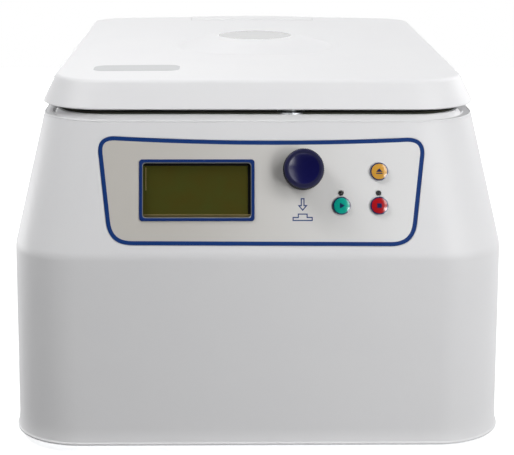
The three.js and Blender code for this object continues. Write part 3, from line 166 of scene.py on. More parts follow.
def circle(radius: float, height: float, steps: int = 48, x: float = 0.0, y: float = 0.0) -> Loop:
    """Draws a level circle, anticlockwise from above."""
    angles = [TURN * step / steps for step in range(steps)]
    return [Vector((x + radius * math.cos(a), y + radius * math.sin(a), height)) for a in angles]


def flat_loop(points: Iterable[Sequence[float]]) -> Loop:
    """Gives flat points a level of nought."""
    return [Vector((point[0], point[1], 0.0)) for point in points]


def raised(profile: Iterable[Sequence[float]], height: float) -> list[tuple[float, ...]]:
    """Lifts a profile of radii and heights."""
    return [(radius, rise + height, *rest) for radius, rise, *rest in profile]


def grown(loop: Loop, distance: float, least_turn: float = 0.3) -> Loop:
    """Moves an anticlockwise flat outline outwards by the same distance all round.

    Args:
        loop: The outline.
        distance: How far each side moves. Less than nought moves it inwards.
        least_turn: Cosine at which a sharp corner's point stops running out further.
    Returns:
        The new outline, with as many points.
    """
    moved = []
    for i, point in enumerate(loop):
        before = (point - loop[i - 1]).normalized()
        after = (loop[(i + 1) % len(loop)] - point).normalized()
        out_before = Vector((before.y, -before.x, 0))
        out_after = Vector((after.y, -after.x, 0))
        across = (out_before + out_after).normalized()
        moved.append(point + across * (distance / max(across.dot(out_after), least_turn)))
    return moved


# Forms and pieces

class Form:
    """A surface under construction, in millimetres, with a finish number for each face."""

    def __init__(self) -> None:
        """Starts empty."""
        self.points: list[Vector] = []
        self.faces: list[tuple[int, ...]] = []
        self.marks: list[int] = []

    def add_face(self, corners: Sequence[int], mark: int) -> None:
        """Adds one face with its finish number."""
        self.faces.append(tuple(corners))
        self.marks.append(mark)

    def loft(self, rings: Sequence[Loop], mark: int = 0, ends: bool = True, looped: bool = False) -> "Form":
        """Skins rings of equally many points.

        Args:
            rings: The rings, in order.
            mark: Finish number of the faces.
            ends: Whether the first and last ring are closed with a flat face.
            looped: Whether the last ring joins the first.
        Returns:
            This form.
        """
        start, count = len(self.points), len(rings[0])
        for ring in rings:
            self.points += [point.copy() for point in ring]
        spans = len(rings) if looped else len(rings) - 1
        for level in range(spans):
            low = start + level * count
            high = start + (level + 1) % len(rings) * count
            for i in range(count):
                j = (i + 1) % count
                self.add_face((low + i, low + j, high + j, high + i), mark)
        if ends and not looped:
            self.add_face([start + i for i in reversed(range(count))], mark)
            self.add_face([start + (len(rings) - 1) * count + i for i in range(count)], mark)
        return self

    def turn(self, profile: Sequence[Sequence[float]], steps: int = 64, mark: int = 0,
             looped: bool = False, ribs: int = 0) -> "Form":
        """Turns a profile about the Z axis.

        Args:
            profile: Radius, height and, where the rim is ribbed there, the depth of the ribs.
            steps: Steps round the axis.
            mark: Finish number of the faces.
            looped: Whether the profile closes on itself, round a hole.
            ribs: Number of ribs round the axis.
        Returns:
            This form.
        """
        rings = []
        for entry in profile:
            radius, height = entry[0], entry[1]
            depth = entry[2] if len(entry) > 2 else 0.0
            ring = []
            for step in range(steps):
                angle = TURN * step / steps
                reach = radius - depth * (0.5 - 0.5 * math.cos(ribs * angle))
                ring.append(Vector((reach * math.cos(angle), reach * math.sin(angle), height)))
            rings.append(ring)
        return self.loft(rings, mark, ends=False, looped=looped)

    def sheet(self, loops: Sequence[Loop], height: float, mark: int = 0) -> "Form":
        """Adds a flat face at one level.

        Args:
            loops: The outline, and after it the outlines of the holes.
            height: The level.
            mark: Finish number of the face.
        Returns:
            This form.
        """
        start = len(self.points)
        for loop in loops:
            self.points += [Vector((point.x, point.y, height)) for point in loop]
        for corners in tessellate_polygon([[Vector((p.x, p.y, 0)) for p in loop] for loop in loops]):
            self.add_face([start + corner for corner in corners], mark)
        return self

    def wall(self, loop: Loop, low: float, high: float, mark: int = 0) -> "Form":
        """Adds an upright wall along an outline."""
        rings = [[Vector((p.x, p.y, height)) for p in loop] for height in (low, high)]
        return self.loft(rings, mark, ends=False)

    def plate(self, loops: Sequence[Loop], low: float, high: float, mark: int = 0) -> "Form":
        """Adds a flat plate between two levels.

        Args:
            loops: The outline, and after it the outlines of the holes.
            low: Level of the underside.
            high: Level of the top.
            mark: Finish number of the faces.
        Returns:
            This form.
        """
        self.sheet(loops, low, mark).sheet(loops, high, mark)
        for loop in loops:
            self.wall(loop, low, high, mark)
        return self

    def block(self, low: Spot, high: Spot) -> "Form":
        """Adds a box between its lowest and highest corner."""
        (x0, y0, z0), (x1, y1, z1) = low, high
        return self.plate([flat_loop([(x0, y0), (x1, y0), (x1, y1), (x0, y1)])], z0, z1)

    def peg(self, radius: float, place: Flat, low: float, high: float, steps: int = 40) -> "Form":
        """Adds an upright round peg between two levels."""
        return self.plate([circle(radius, 0, steps, *place)], low, high)

    def moved(self, change: Matrix) -> "Form":
        """Moves every point by a matrix."""
        self.points = [change @ point for point in self.points]
        return self

    def shifted(self, x: float, y: float, z: float = 0.0) -> "Form":
        """Moves every point by a distance."""
        return self.moved(Matrix.Translation((x, y, z)))

    def joined(self, other: "Form") -> "Form":
        """Takes in a copy of another form.

        Args:
            other: The form that is added.
        Returns:
            This form.
        """
        start = len(self.points)
        self.points += [point.copy() for point in other.points]
        for corners, mark in zip(other.faces, other.marks):
            self.add_face([start + corner for corner in corners], mark)
        return self

    def mesh(self, name: str) -> bpy.types.Mesh:
        """Builds the mesh, in metres, with its faces turned outwards.

        Args:
            name: Its name.
        Returns:
            The mesh.
        """
        merging = 1e-7
        made = bpy.data.meshes.new(name)
        made.from_pydata([point * MM for point in self.points], [], self.faces)
        made.polygons.foreach_set("material_index", self.marks)
        work = bmesh.new()
        work.from_mesh(made)
        bmesh.ops.remove_doubles(work, verts=work.verts, dist=merging)
        bmesh.ops.dissolve_degenerate(work, edges=work.edges, dist=merging)
        bmesh.ops.recalc_face_normals(work, faces=work.faces)
        work.to_mesh(made)
        work.free()
        return made


def placed(name: str, data: bpy.types.ID) -> bpy.types.Object:
    """Makes an object and links it to the scene.

    Args:
        name: Its name.
        data: Its mesh, lamp or camera.
    Returns:
        The object.
    """
    made = bpy.data.objects.new(name, data)
    bpy.context.scene.collection.objects.link(made)
    return made


def carve(piece: bpy.types.Object, *tools: Form) -> None:
    """Cuts closed forms out of a piece, one after another.

    Args:
        piece: The piece.
        tools: What is cut away.
    """
    for tool in tools:
        cutter = placed("cutter", tool.mesh("cutter"))
        step = piece.modifiers.new("carve", "BOOLEAN")
        step.operation = "DIFFERENCE"
        step.solver = "EXACT"
        step.object = cutter
        graph = bpy.context.evaluated_depsgraph_get()
        made = bpy.data.meshes.new_from_object(piece.evaluated_get(graph))
        piece.modifiers.remove(step)
        old, piece.data = piece.data, made
        old_cutter = cutter.data
        bpy.data.objects.remove(cutter)
        bpy.data.meshes.remove(old_cutter)
        bpy.data.meshes.remove(old)


# Finishes

def add_node(tree: bpy.types.NodeTree, kind: str, inputs: dict | None = None, **settings) -> bpy.types.Node:
    """Adds a node with its settings and links.

    Args:
        tree: Where the node goes.
        kind: The node's type.
        inputs: For each input, by name or number, a value or the output that it takes.
        settings: The node's own properties.
    Returns:
        The node.
    """
    made = tree.nodes.new(kind)
    for key, value in settings.items():
        setattr(made, key, value)
    for key, value in (inputs or {}).items():
        if isinstance(value, bpy.types.NodeSocket):
            tree.links.new(value, made.inputs[key])
        else:
            made.inputs[key].default_value = value
    return made


class Grain(Enum):
    """How a surface was made, which gives its finest pattern."""

    SPARK = auto()
    BRUSHED = auto()
    TURNED = auto()
    LAYERED = auto()
    TRACKS = auto()


@dataclass(frozen=True)
class Finish:
    """One real material and the way its surface was made. Lengths are in millimetres."""

    name: str
    colour: str
    second: str
    roughness: float
    grain: Grain = Grain.SPARK
    grain_size: float = 0.8
    grain_depth: float = 0.01
    grain_axis: Spot = (1.0, 1.0, 1.0)
    grain_tint: float = 0.0
    patch_size: float = 45.0
    swing: float = 0.05
    metallic: float = 0.0
    ior: float = 1.5
    specular: float = 0.5
    coat: float = 0.0
    coat_roughness: float = 0.08
    # A sweep in X paints light: the second colour takes over towards one side.
    painted_light_sweep: Flat | None = None
    sweep_patches: float = 0.15

    def fine_pattern(self, tree: bpy.types.NodeTree, place: bpy.types.NodeSocket) -> bpy.types.NodeSocket:
        """Draws the finest pattern.

        Args:
            tree: The material's nodes.
            place: The point on the object, in metres.
        Returns:
            The pattern's height, from 0 to 1.
        """
        per_metre = 1 / (self.grain_size * MM)
        # Blender's wave texture repeats every pi tenths of its scaled place.
        wave_scale = math.pi / 10 * per_metre
        if self.grain is Grain.TURNED:
            rings = add_node(tree, "ShaderNodeTexWave",
                             {"Vector": place, "Scale": wave_scale, "Distortion": 0.6, "Detail": 2.0,
                              "Detail Scale": 0.4}, wave_type="RINGS", rings_direction="Z")
            return rings.outputs["Fac"]
        if self.grain is Grain.LAYERED:
            bands = add_node(tree, "ShaderNodeTexWave",
                             {"Vector": place, "Scale": wave_scale, "Distortion": 0.3},
                             wave_type="BANDS", bands_direction="Y")
            return bands.outputs["Fac"]
        if self.grain is Grain.TRACKS:
            bricks = add_node(tree, "ShaderNodeTexBrick",
                              {"Vector": place, "Scale": per_metre, "Mortar Size": 0.06, "Brick Width": 3.0,
                               "Row Height": 0.5}, offset=0.37)
            return bricks.outputs["Fac"]
        stretched = add_node(tree, "ShaderNodeMapping", {"Vector": place, "Scale": self.grain_axis})
        detail = 2.0 if self.grain is Grain.BRUSHED else 4.0
        noise = add_node(tree, "ShaderNodeTexNoise",
                         {"Vector": stretched.outputs[0], "Scale": per_metre, "Detail": detail,
                          "Roughness": 0.6})
        return noise.outputs["Fac"]

    def colour_share(self, tree: bpy.types.NodeTree, place: bpy.types.NodeSocket) -> bpy.types.NodeSocket:
        """Draws where the second colour takes over: in slow patches, or along a sweep in X that paints light,
        darker to one side.

        Args:
            tree: The material's nodes.
            place: The point on the object, in metres.
        Returns:
            The second colour's share.
        """
        patches = add_node(tree, "ShaderNodeTexNoise",
                           {"Vector": place, "Scale": 1 / (self.patch_size * MM), "Detail": 2.0,
                            "Roughness": 0.5}).outputs["Fac"]
        if self.painted_light_sweep is None:
            return patches
        along = add_node(tree, "ShaderNodeSeparateXYZ", {0: place}).outputs["X"]
        start, end = (reach * MM for reach in self.painted_light_sweep)
        share = add_node(tree, "ShaderNodeMapRange", {"Value": along, "From Min": start, "From Max": end},
                         interpolation_type="SMOOTHSTEP").outputs["Result"]
        soft = add_node(tree, "ShaderNodeMath", {0: patches, 1: self.sweep_patches},
                        operation="MULTIPLY").outputs[0]
        return add_node(tree, "ShaderNodeMath", {0: share, 1: soft}, operation="ADD",
                        use_clamp=True).outputs[0]

    def material(self) -> bpy.types.Material:
        """Makes the material, or finds it if it is made already.

        Returns:
            The material.
        """
        known = bpy.data.materials.get(self.name)
        if known is not None:
            return known
        made = bpy.data.materials.new(self.name)
        made.use_nodes = True
        made.diffuse_color = linear(self.colour)
        tree = made.node_tree
        shader = tree.nodes["Principled BSDF"]
        place = add_node(tree, "ShaderNodeTexCoord").outputs["Object"]
        fine = self.fine_pattern(tree, place)
        share = self.colour_share(tree, place)
        tint = add_node(tree, "ShaderNodeMath", {0: fine, 1: self.grain_tint},
                        operation="MULTIPLY").outputs[0]
        mixed = add_node(tree, "ShaderNodeMath", {0: share, 1: tint}, operation="ADD",
                         use_clamp=True).outputs[0]
        # Inputs 6 and 7 of the mix node are its two colours.
        colour = add_node(tree, "ShaderNodeMix", {0: mixed, 6: linear(self.colour), 7: linear(self.second)},
                          data_type="RGBA")
        rough = add_node(tree, "ShaderNodeMapRange",
                         {"Value": fine, "To Min": self.roughness - self.swing,
                          "To Max": self.roughness + self.swing})
        relief = add_node(tree, "ShaderNodeBump",
                          {"Height": fine, "Strength": 1.0, "Distance": self.grain_depth * MM})
        tree.links.new(colour.outputs[2], shader.inputs["Base Color"])
        tree.links.new(rough.outputs["Result"], shader.inputs["Roughness"])
        tree.links.new(relief.outputs["Normal"], shader.inputs["Normal"])
        shader.inputs["Metallic"].default_value = self.metallic
        shader.inputs["IOR"].default_value = self.ior
        shader.inputs["Specular IOR Level"].default_value = self.specular
        shader.inputs["Coat Weight"].default_value = self.coat
        shader.inputs["Coat Roughness"].default_value = self.coat_roughness
        return made


# White ABS, injection moulded in a spark-eroded tool: an even satin white with a very fine grain.
# The real grain is about 0.1 mm and is drawn coarser, so that it can show at all.
WHITE_ABS = Finish("white_abs_moulded", "#E9E9EA", "#E6E6E8", 0.48,
                   grain_size=0.6, grain_depth=0.004, swing=0.03)
# The same ABS inside the lid, a little greyer and duller.
INNER_ABS = Finish("inner_abs_moulded", "#D9D9D9", "#D3D3D4", 0.50, grain_size=0.6, grain_depth=0.006)
# Black moulded ABS with a rougher grain, which spreads highlights wide.
BLACK_ABS = Finish("black_abs_moulded", "#17181A", "#1E1F22", 0.48, grain_size=0.7, grain_depth=0.015)
# Moulded rubber: dark, dull and slightly dusty.
BLACK_RUBBER = Finish("black_rubber_moulded", "#1B1B1D", "#252527", 0.80, grain_size=0.5, grain_depth=0.02,
                      patch_size=12.0, ior=1.52)
# Black strips on the glass along its top and right, which hardly reflect: painted shadow of the frame on the
# recessed glass.
DISPLAY_PAINTED_SHADOW = Finish("painted_shadow_edge", "#08080A", "#0B0B0D", 0.85, grain_size=0.6, grain_depth=0.02,
                    specular=0.1)
# Near-black strip in the gap under the lid's edge, dull and rough: painted shade where the lid's overhang
# shades the plinth.
GAP_SHADE_STRIP = Finish("painted_shade_strip", "#2A2B25", "#33342C", 0.92, grain_size=0.9, grain_depth=0.12,
                       patch_size=8.0, specular=0.2)
# Silicone gasket: a soft grey with a waxy sheen.
GREY_SILICONE = Finish("grey_silicone_gasket", "#85878A", "#7B7D80", 0.55, grain_size=1.2, grain_depth=0.01,
                       ior=1.41)
# Sheet steel, bright zinc plated: cool grey with faint cloudy patches.
ZINC_STEEL = Finish("zinc_plated_steel", "#B4B8BC", "#A2A7AD", 0.36, grain_size=2.5, grain_depth=0.01,
                    patch_size=9.0, metallic=1.0)
# Stainless steel bowl and pins, brushed round: fine bright lines.
STAINLESS = Finish("brushed_stainless_steel", "#BFC1C3", "#AEB1B4", 0.27, grain=Grain.TURNED, grain_size=0.9,
                   grain_depth=0.012, swing=0.07, metallic=1.0, grain_tint=0.3)
# Small steel parts, brushed straight along X.
STEEL_STRAIGHT = Finish("straight_brushed_steel", "#C2C4C6", "#ACAFB2", 0.28, grain=Grain.BRUSHED,
                        grain_size=0.5, grain_depth=0.01, grain_axis=(0.04, 1.0, 1.0), metallic=1.0)
# Aluminium, turned on a lathe and clear anodised: pale satin grey with fine tool rings.
ANODISED = Finish("clear_anodised_aluminium", "#A9ADB1", "#9DA1A6", 0.33, grain=Grain.TURNED, grain_size=0.7,
                  grain_depth=0.010, metallic=1.0, grain_tint=0.25)
# Cast iron and aluminium motor, sprayed grey: a lumpy skin under thin paint.
MOTOR_PAINT = Finish("painted_motor_casting", "#5B6066", "#4E5359", 0.50, grain_size=2.2, grain_depth=0.08)
# Transformer: varnished steel laminations, seen as thin layers.
LAMINATIONS = Finish("varnished_laminations", "#6B4A33", "#4A3527", 0.42, grain=Grain.LAYERED, grain_size=0.9,
                     grain_depth=0.05, grain_tint=0.8, coat=0.3)
# Printed circuit board: green solder mask over copper tracks.
SOLDER_MASK = Finish("green_solder_mask", "#1D5537", "#123F27", 0.38, grain=Grain.TRACKS, grain_size=4.0,
                     grain_depth=0.03, grain_tint=0.7)
# Printed polyester film, silver-grey and very smooth, with a fine metallic sparkle; darker at left, lighter
# at right as painted light.
SILVER_FILM_SIDE_LIT = Finish("silver_film_painted_light", "#C8C4BD", "#EAEAEA", 0.36, grain_size=0.5, grain_depth=0.002,
                     patch_size=60.0, swing=0.02, painted_light_sweep=(-75.0, 120.0))
# Screen-printed blue ink on the same film.
BLUE_INK = Finish("blue_screen_ink", "#193C7C", "#173774", 0.40, grain_size=0.5, grain_depth=0.003,
                  swing=0.03, specular=0.15)
# Satin blue frame of the display, moulded.
BLUE_FRAME = Finish("blue_display_frame", "#193674", "#16306A", 0.40, grain_size=0.6, grain_depth=0.004,
                    specular=0.15)
# Pale grey ring at the inner edge of the display frame: a painted highlight, the thin pale line where that
# edge catches the light.
FRAME_LIP_HIGHLIGHT = Finish("pale_lip_painted_highlight", "#5C6065", "#74787C", 0.24, grain_size=0.6, grain_depth=0.002,
                   specular=0.6)
# Unlit liquid-crystal glass: dark olive, in slow patches of brown and green.
LCD_GLASS = Finish("unlit_lcd_glass", "#4B4116", "#424A1F", 0.22, grain_size=1.2, grain_depth=0.001,
                   patch_size=14.0, swing=0.02, specular=0.2)
# Brass-coloured metal edge of the display under its cover, laid only along the lower and left sides of the
# glass: painted highlight where it catches the light.
GOLD_HIGHLIGHT_EDGE = Finish("gold_edge_painted_highlight", "#9F9064", "#8B7D55", 0.34, grain=Grain.BRUSHED, grain_size=0.6,
                   grain_depth=0.006, grain_axis=(0.05, 1.0, 1.0), metallic=1.0)
# Navy knob, moulded and polished: deep blue with a clear soft highlight.
NAVY_GLOSS = Finish("navy_polished_plastic", "#14144A", "#121244", 0.20, grain_size=1.0, grain_depth=0.002,
                    swing=0.03, specular=0.3)
# The knob's grip, left matt.
NAVY_GRIP = Finish("navy_matt_grip", "#06060F", "#04040B", 0.62, grain_size=0.8, grain_depth=0.01,
                   specular=0.12)
# The knob's rim, satin from its mould.
NAVY_MATT = Finish("navy_satin_rim", "#15153C", "#121235", 0.48, grain_size=0.8, grain_depth=0.006,
                   specular=0.2)
# Lamp lens: clear black dome.
BLACK_LENS = Finish("black_lamp_lens", "#050506", "#08080A", 0.16, grain_size=0.8, grain_depth=0.001,
                    specular=0.35)
# Domed resin over coloured print: a flat strong colour under a clear, very smooth dome.
AMBER_DOME, TEAL_DOME, RED_DOME = (
    Finish(f"{name}_domed_label", colour, second, 0.16, grain_size=1.0, grain_depth=0.001, coat=0.8,
           patch_size=6.0)
    for name, colour, second in (("amber", "#E0A846", "#DBA13E"), ("teal", "#10B8A2", "#0DAD98"),
                                 ("red", "#BC1B22", "#AF171E")))
# The dark printed edge and sign under the same resin.
NAVY_PRINT = Finish("navy_label_print", "#1B2A5C", "#182554", 0.22, grain_size=0.6, grain_depth=0.001,
                    coat=0.6)
# Window pane: clear acrylic, frosted behind, so it looks an even pale grey.
FROSTED_PANE = Finish("frosted_acrylic_pane", "#B3B4B4", "#AFB1B1", 0.20, grain_size=1.5, grain_depth=0.002,
                      coat=0.3, ior=1.49)
# Satin label on the lid, left bare: a cool pale grey.
BADGE_FILM = Finish("satin_grey_label", "#BFC0C2", "#BBBDBF", 0.38, grain_size=0.6, grain_depth=0.003)


@dataclass(frozen=True)
class StudioSurface:
    """A matt surface of the studio, pale where it is seen and darker where it only passes light on.

    The lift is the glow that sight and reflections get, and it grows with the distance from the middle.
    Lengths are in millimetres.
    """

    name: str
    seen_colour: str
    bounce_colour: str
    lift: float = 0.0
    far_lift: float = 0.0
    spread: Flat = (350.0, 1100.0)
    tooth_per_metre: float = 900.0
    tooth_depth: float = 0.02
    roughness: float = 0.9
    specular: float = 0.1

    def material(self) -> bpy.types.Material:
        """Makes the material, with the faint tooth of paper.

        Returns:
            The material.
        """
        made = bpy.data.materials.new(self.name)
        made.use_nodes = True
        tree = made.node_tree
        shader = tree.nodes["Principled BSDF"]
        place = add_node(tree, "ShaderNodeTexCoord").outputs["Object"]
        tooth = add_node(tree, "ShaderNodeTexNoise",
                         {"Vector": place, "Scale": self.tooth_per_metre, "Detail": 2.0})
        relief = add_node(tree, "ShaderNodeBump",
                          {"Height": tooth.outputs["Fac"], "Distance": self.tooth_depth * MM})
        seen = seen_rays(tree)
        paper = add_node(tree, "ShaderNodeMix",
                         {0: seen, 6: linear(self.bounce_colour), 7: linear(self.seen_colour)},
                         data_type="RGBA")
        away = add_node(tree, "ShaderNodeVectorMath", {0: place}, operation="LENGTH").outputs["Value"]
        start, end = (reach * MM for reach in self.spread)
        lift = add_node(tree, "ShaderNodeMapRange",
                        {"Value": away, "From Min": start, "From Max": end, "To Min": self.lift,
                         "To Max": self.far_lift})
        strength = add_node(tree, "ShaderNodeMath", {0: seen, 1: lift.outputs["Result"]},
                            operation="MULTIPLY").outputs[0]
        tree.links.new(relief.outputs["Normal"], shader.inputs["Normal"])
        tree.links.new(paper.outputs[2], shader.inputs["Base Color"])
        tree.links.new(strength, shader.inputs["Emission Strength"])
        shader.inputs["Emission Color"].default_value = WHITE
        shader.inputs["Roughness"].default_value = self.roughness
        shader.inputs["Specular IOR Level"].default_value = self.specular
        return made


# White paper floor, darker for the rays that only light, so that it doesn't flood the walls from below.
WHITE_PAPER = StudioSurface("white_paper_floor", "#F2F2F2", "#606060", 0.72, 1.0)
# Grey card behind the camera, which dark gloss mirrors as a calm dark field.
GREY_CARD = StudioSurface("grey_studio_wall", "#3A3A3A", "#3A3A3A")


def seen_rays(tree: bpy.types.NodeTree) -> bpy.types.NodeSocket:
    """Tells the rays that see a surface from those that only light it.

    Args:
        tree: Where the nodes go.
    Returns:
        One for a ray from the camera, by reflection or through glass, and nought for any other.
    """
    path = add_node(tree, "ShaderNodeLightPath")
    total = path.outputs["Is Camera Ray"]
    for name in ("Is Glossy Ray", "Is Transmission Ray"):
        total = add_node(tree, "ShaderNodeMath", {0: total, 1: path.outputs[name]},
                         operation="MAXIMUM").outputs[0]
    return total


class Body(Enum):
    """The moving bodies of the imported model."""

    BASE = "base"
    LID = "lid"
    ROTOR = "rotor"
    KNOB = "knob"
    OPEN = "open_button"
    START = "start_button"
    STOP = "stop_button"


def build(form: Form, name: str, body: Body, finishes: Sequence[Finish],
          replaced: Sequence[str] = (), sharp: float = 34.0, tools: Sequence[Form] = (),
          soften: float = 0.0) -> bpy.types.Object:
    """Makes a piece from a form, puts it on its body and dresses it.

    Args:
        form: Its surface, in millimetres.
        name: Its name.
        body: The body that carries it.
        finishes: Its finishes, by the numbers on its faces.
        replaced: The nodes that it stands for.
        sharp: Angle between faces, in degrees, above which an edge stays crisp.
        tools: What is cut out of it.
        soften: Width of a small bevel on its crisp edges, in millimetres.
    Returns:
        The piece.
    """
    piece = placed(name, form.mesh(name))
    carve(piece, *tools)
    marks = [polygon.material_index for polygon in piece.data.polygons]
    piece.data.materials.clear()
    for finish in finishes:
        piece.data.materials.append(finish.material())
    piece.data.polygons.foreach_set("material_index", marks)
    piece.data.shade_smooth()
    piece.data.set_sharp_from_angle(angle=math.radians(sharp))
    if soften > 0:
        add_bevel(piece, soften)
    level = piece.modifiers.new("even shading", "WEIGHTED_NORMAL")
    level.keep_sharp = True
    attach(piece, body.value)
    if replaced:
        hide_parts(*replaced)
    log.info("%s: %d faces on %s", name, len(piece.data.polygons), body.value)
    return piece


def add_bevel(piece: bpy.types.Object, width: float, crisp: float = 40.0) -> None:
    """Rounds the crisp edges of a piece.

    Args:
        piece: The piece.
        width: Width of the rounding, in millimetres.
        crisp: Angle between faces, in degrees, above which an edge is rounded.
    """
    edge = piece.modifiers.new("soft edges", "BEVEL")
    edge.width = width * MM
    edge.segments = 2
    edge.limit_method = "ANGLE"
    edge.angle_limit = math.radians(crisp)
    edge.use_clamp_overlap = True


# Sub-assemblies

@dataclass
class Housing:
    """White housing: a flared lip, straight walls, a soft shoulder, a taper and a plinth inside a ledge.

    A fine groove runs under the rim, and a near-black strip of painted shade lies on the plinth, under the
    lid's edge.
    An inset says how far inside the wall's own outline a place lies, and less than nought is outside it.
    """

    half_width: float = 163.0
    half_depth: float = 204.5
    corner: float = 43.7
    foot: float = 6.0
    lip: Profile = ((6.0, -2.4), (6.25, -2.9), (6.7, -3.0), (7.5, -3.0), (8.2, -2.45))
    cove_foot: float = 8.4
    cove_rise: float = 9.6
    cove_flare: float = 1.0
    cove_steps: int = 8
    wall_flare: float = 1.4
    wall_top_flare: float = 0.03
    shoulder: float = 135.3
    shoulder_bend: float = 3.0
    taper_height: float = 85.2
    taper_side: float = 18.9
    taper_front: float = 25.1
    taper_back: float = 3.0
    groove: Profile = ((1.4, 0), (1.3, 0.4), (0.85, 0.45), (0.75, 0.05))
    rim_drop: float = 0.35
    rim_reach: float = 0.4
    rim_slope: Profile = ((0.05, 1.3), (0.3, 1.7))
    ledge: float = 7.5
    ledge_drop: float = 0.3
    ledge_fillet: float = 2.0
    plinth_top: float = PLINTH_TOP
    plinth_corner: float = 34.0
    plinth_inset: float = 2.2
    plinth_round: float = 0.8
    deck_under: float = DECK_UNDER
    deck_inset: float = 5.5
    deck_relief: float = 4.2
    wall: float = 3.5
    low_wall: float = 2.8
    low_wall_top: float = 80.0
    opening: float = 118.0
    latch_bore: float = 8.5
    steps: int = 14
    sides: int = 20

    vent_count: int = 9
    vent_start: float = 24.0
    vent_pitch: float = 11.0
    vent_half: Flat = (1.7, 18.0)
    vent_corner: float = 1.2
    socket_x: float = -60.0
    socket_half: Flat = (52.0, 22.0)
    socket_corner: float = 4.0
    rear_level: float = 50.0
    rear_reach: Flat = (195.0, 210.0)

    # The strip of painted shade for the dark gap under the lid's edge
    shade_strip_height: float = 1.3
    shade_strip_inset: Flat = (4.4, 17.0)
    shade_strip_corner_less: Flat = (2.0, 12.0)
    shade_strip_inner_side: float = 1.5
    shade_strip_latch: float = 10.2
    shade_strip_gap_half: float = 54.5
    shade_strip_gap_front: float = 150.0

    @property
    def rim(self) -> float:
        """Height of the rim, where the taper ends."""
        return self.shoulder + self.taper_height

    def panel_place(self) -> Matrix:
        """Gives the front slope's frame: X to the right, Y up the slope from the shoulder, Z out of it.

        Returns:
            The matrix from that frame to the machine's.
        """
        lean = math.atan2(self.taper_front, self.taper_height)
        rise, reach = math.cos(lean), math.sin(lean)
        return Matrix(((1, 0, 0, 0), (0, reach, -rise, -self.half_depth), (0, rise, reach, self.shoulder),
                       (0, 0, 0, 1)))

    def level(self, height: float, share: float, inset: float, radius: float | None = None,
              side: float = 0) -> Loop:
        """Gives the outline at a height, for a share of the taper and an extra inset.

        Args:
            height: The level.
            share: The share of the taper reached there.
            inset: How far in it lies all round.
            radius: Radius of the corners, where it isn't the housing's own.
            side: How much further in it lies at the two sides.
        Returns:
            The outline.
        """
        return round_ring(self.half_width - self.taper_side * share - inset - side,
                          self.half_depth - self.taper_front * share - inset,
                          self.half_depth - self.taper_back * share - inset,
                          self.corner - inset if radius is None else radius, height, self.steps, self.sides)

    def levels(self) -> list[Loop]:
        """Lists the outlines from the lip up the outside, over the deck's edge.

        Returns:
            The outlines.
        """
        rim, top, bow = self.rim, self.plinth_top, self.shoulder_bend
        found = [(height, 0, inset) for height, inset in self.lip]
        for step in range(self.cove_steps + 1):
            share = step / self.cove_steps
            found.append((self.cove_foot + self.cove_rise * share, 0,
                          -self.wall_flare - self.cove_flare * (1 - share) ** 2))
        found += bend((self.shoulder - bow, 0, -self.wall_top_flare), (self.shoulder, 0, 0),
                      (self.shoulder + bow, bow / self.taper_height, 0), 8)
        found += [(rim - drop, 1 - drop / self.taper_height, inset) for drop, inset in self.groove]
        found += bend((rim - self.rim_drop, 1 - self.rim_drop / self.taper_height, 0), (rim, 1, 0),
                      (rim, 1, self.rim_reach), 4)
        found += [(rim - drop, 1, inset) for drop, inset in self.rim_slope]
        found.append((rim - self.ledge_drop, 1, self.plinth_inset, self.plinth_corner,
                      self.ledge - self.ledge_fillet))
        crest = bend((top - self.plinth_round, 1, self.plinth_inset), (top, 1, self.plinth_inset),
                     (top, 1, self.plinth_inset + self.plinth_round), 4)
        found += [(*entry, self.plinth_corner, self.ledge) for entry in crest]
        return [self.level(*entry) for entry in found]

    def inner_levels(self) -> list[Loop]:
        """Lists the outlines down the inside, from under the deck to the lip.

        Returns:
            The outlines.
        """
        relief = self.rim - self.deck_relief
        found = [(self.deck_under, 1, self.deck_inset),
                 (relief, (relief - self.shoulder) / self.taper_height, self.wall),
                 (self.shoulder, 0, self.wall), (self.low_wall_top, 0, self.low_wall),
                 (self.foot, 0, self.low_wall)]
        return [self.level(*entry) for entry in found]

    def rear_tools(self) -> Form:
        """Cuts the rear slots and the opening for the connectors.

        Returns:
            The cutting form.
        """
        cuts = [(self.vent_start + self.vent_pitch * i + self.vent_half[0], self.vent_half,
                 self.vent_corner, 4) for i in range(self.vent_count)]
        cuts.append((self.socket_x, self.socket_half, self.socket_corner, 6))
        tool = Form()
        for x, (half, reach), corner, steps in cuts:
            slot = Form().plate([round_ring(half, reach, reach, corner, 0, steps)], *self.rear_reach)
            turn = Matrix.Rotation(-QUARTER, 4, "X")
            tool.joined(slot.moved(Matrix.Translation((x, 0, self.rear_level)) @ turn))
        return tool

    def build_shell(self, panel: "ControlPanel") -> None:
        """Builds the shell as one closed skin and cuts its openings.

        Args:
            panel: The control panel, whose recess and holes go through the front.
        """
        outer = self.levels()
        opening = [Vector((p.x, p.y, 0)).normalized() * self.opening for p in outer[-1]]
        hole = [[Vector((p.x, p.y, z)) for p in opening] for z in (self.plinth_top, self.deck_under)]
        form = Form().loft([*outer, *hole, *self.inner_levels()], looped=True)
        latch = Form().peg(self.latch_bore, LATCH, self.deck_under - SPARE, self.plinth_top + SPARE)
        build(form, "housing_white_shell", Body.BASE, [WHITE_ABS], ["housing_shell"],
              tools=[self.rear_tools(), latch, panel.recess(), panel.holes()], sharp=38)

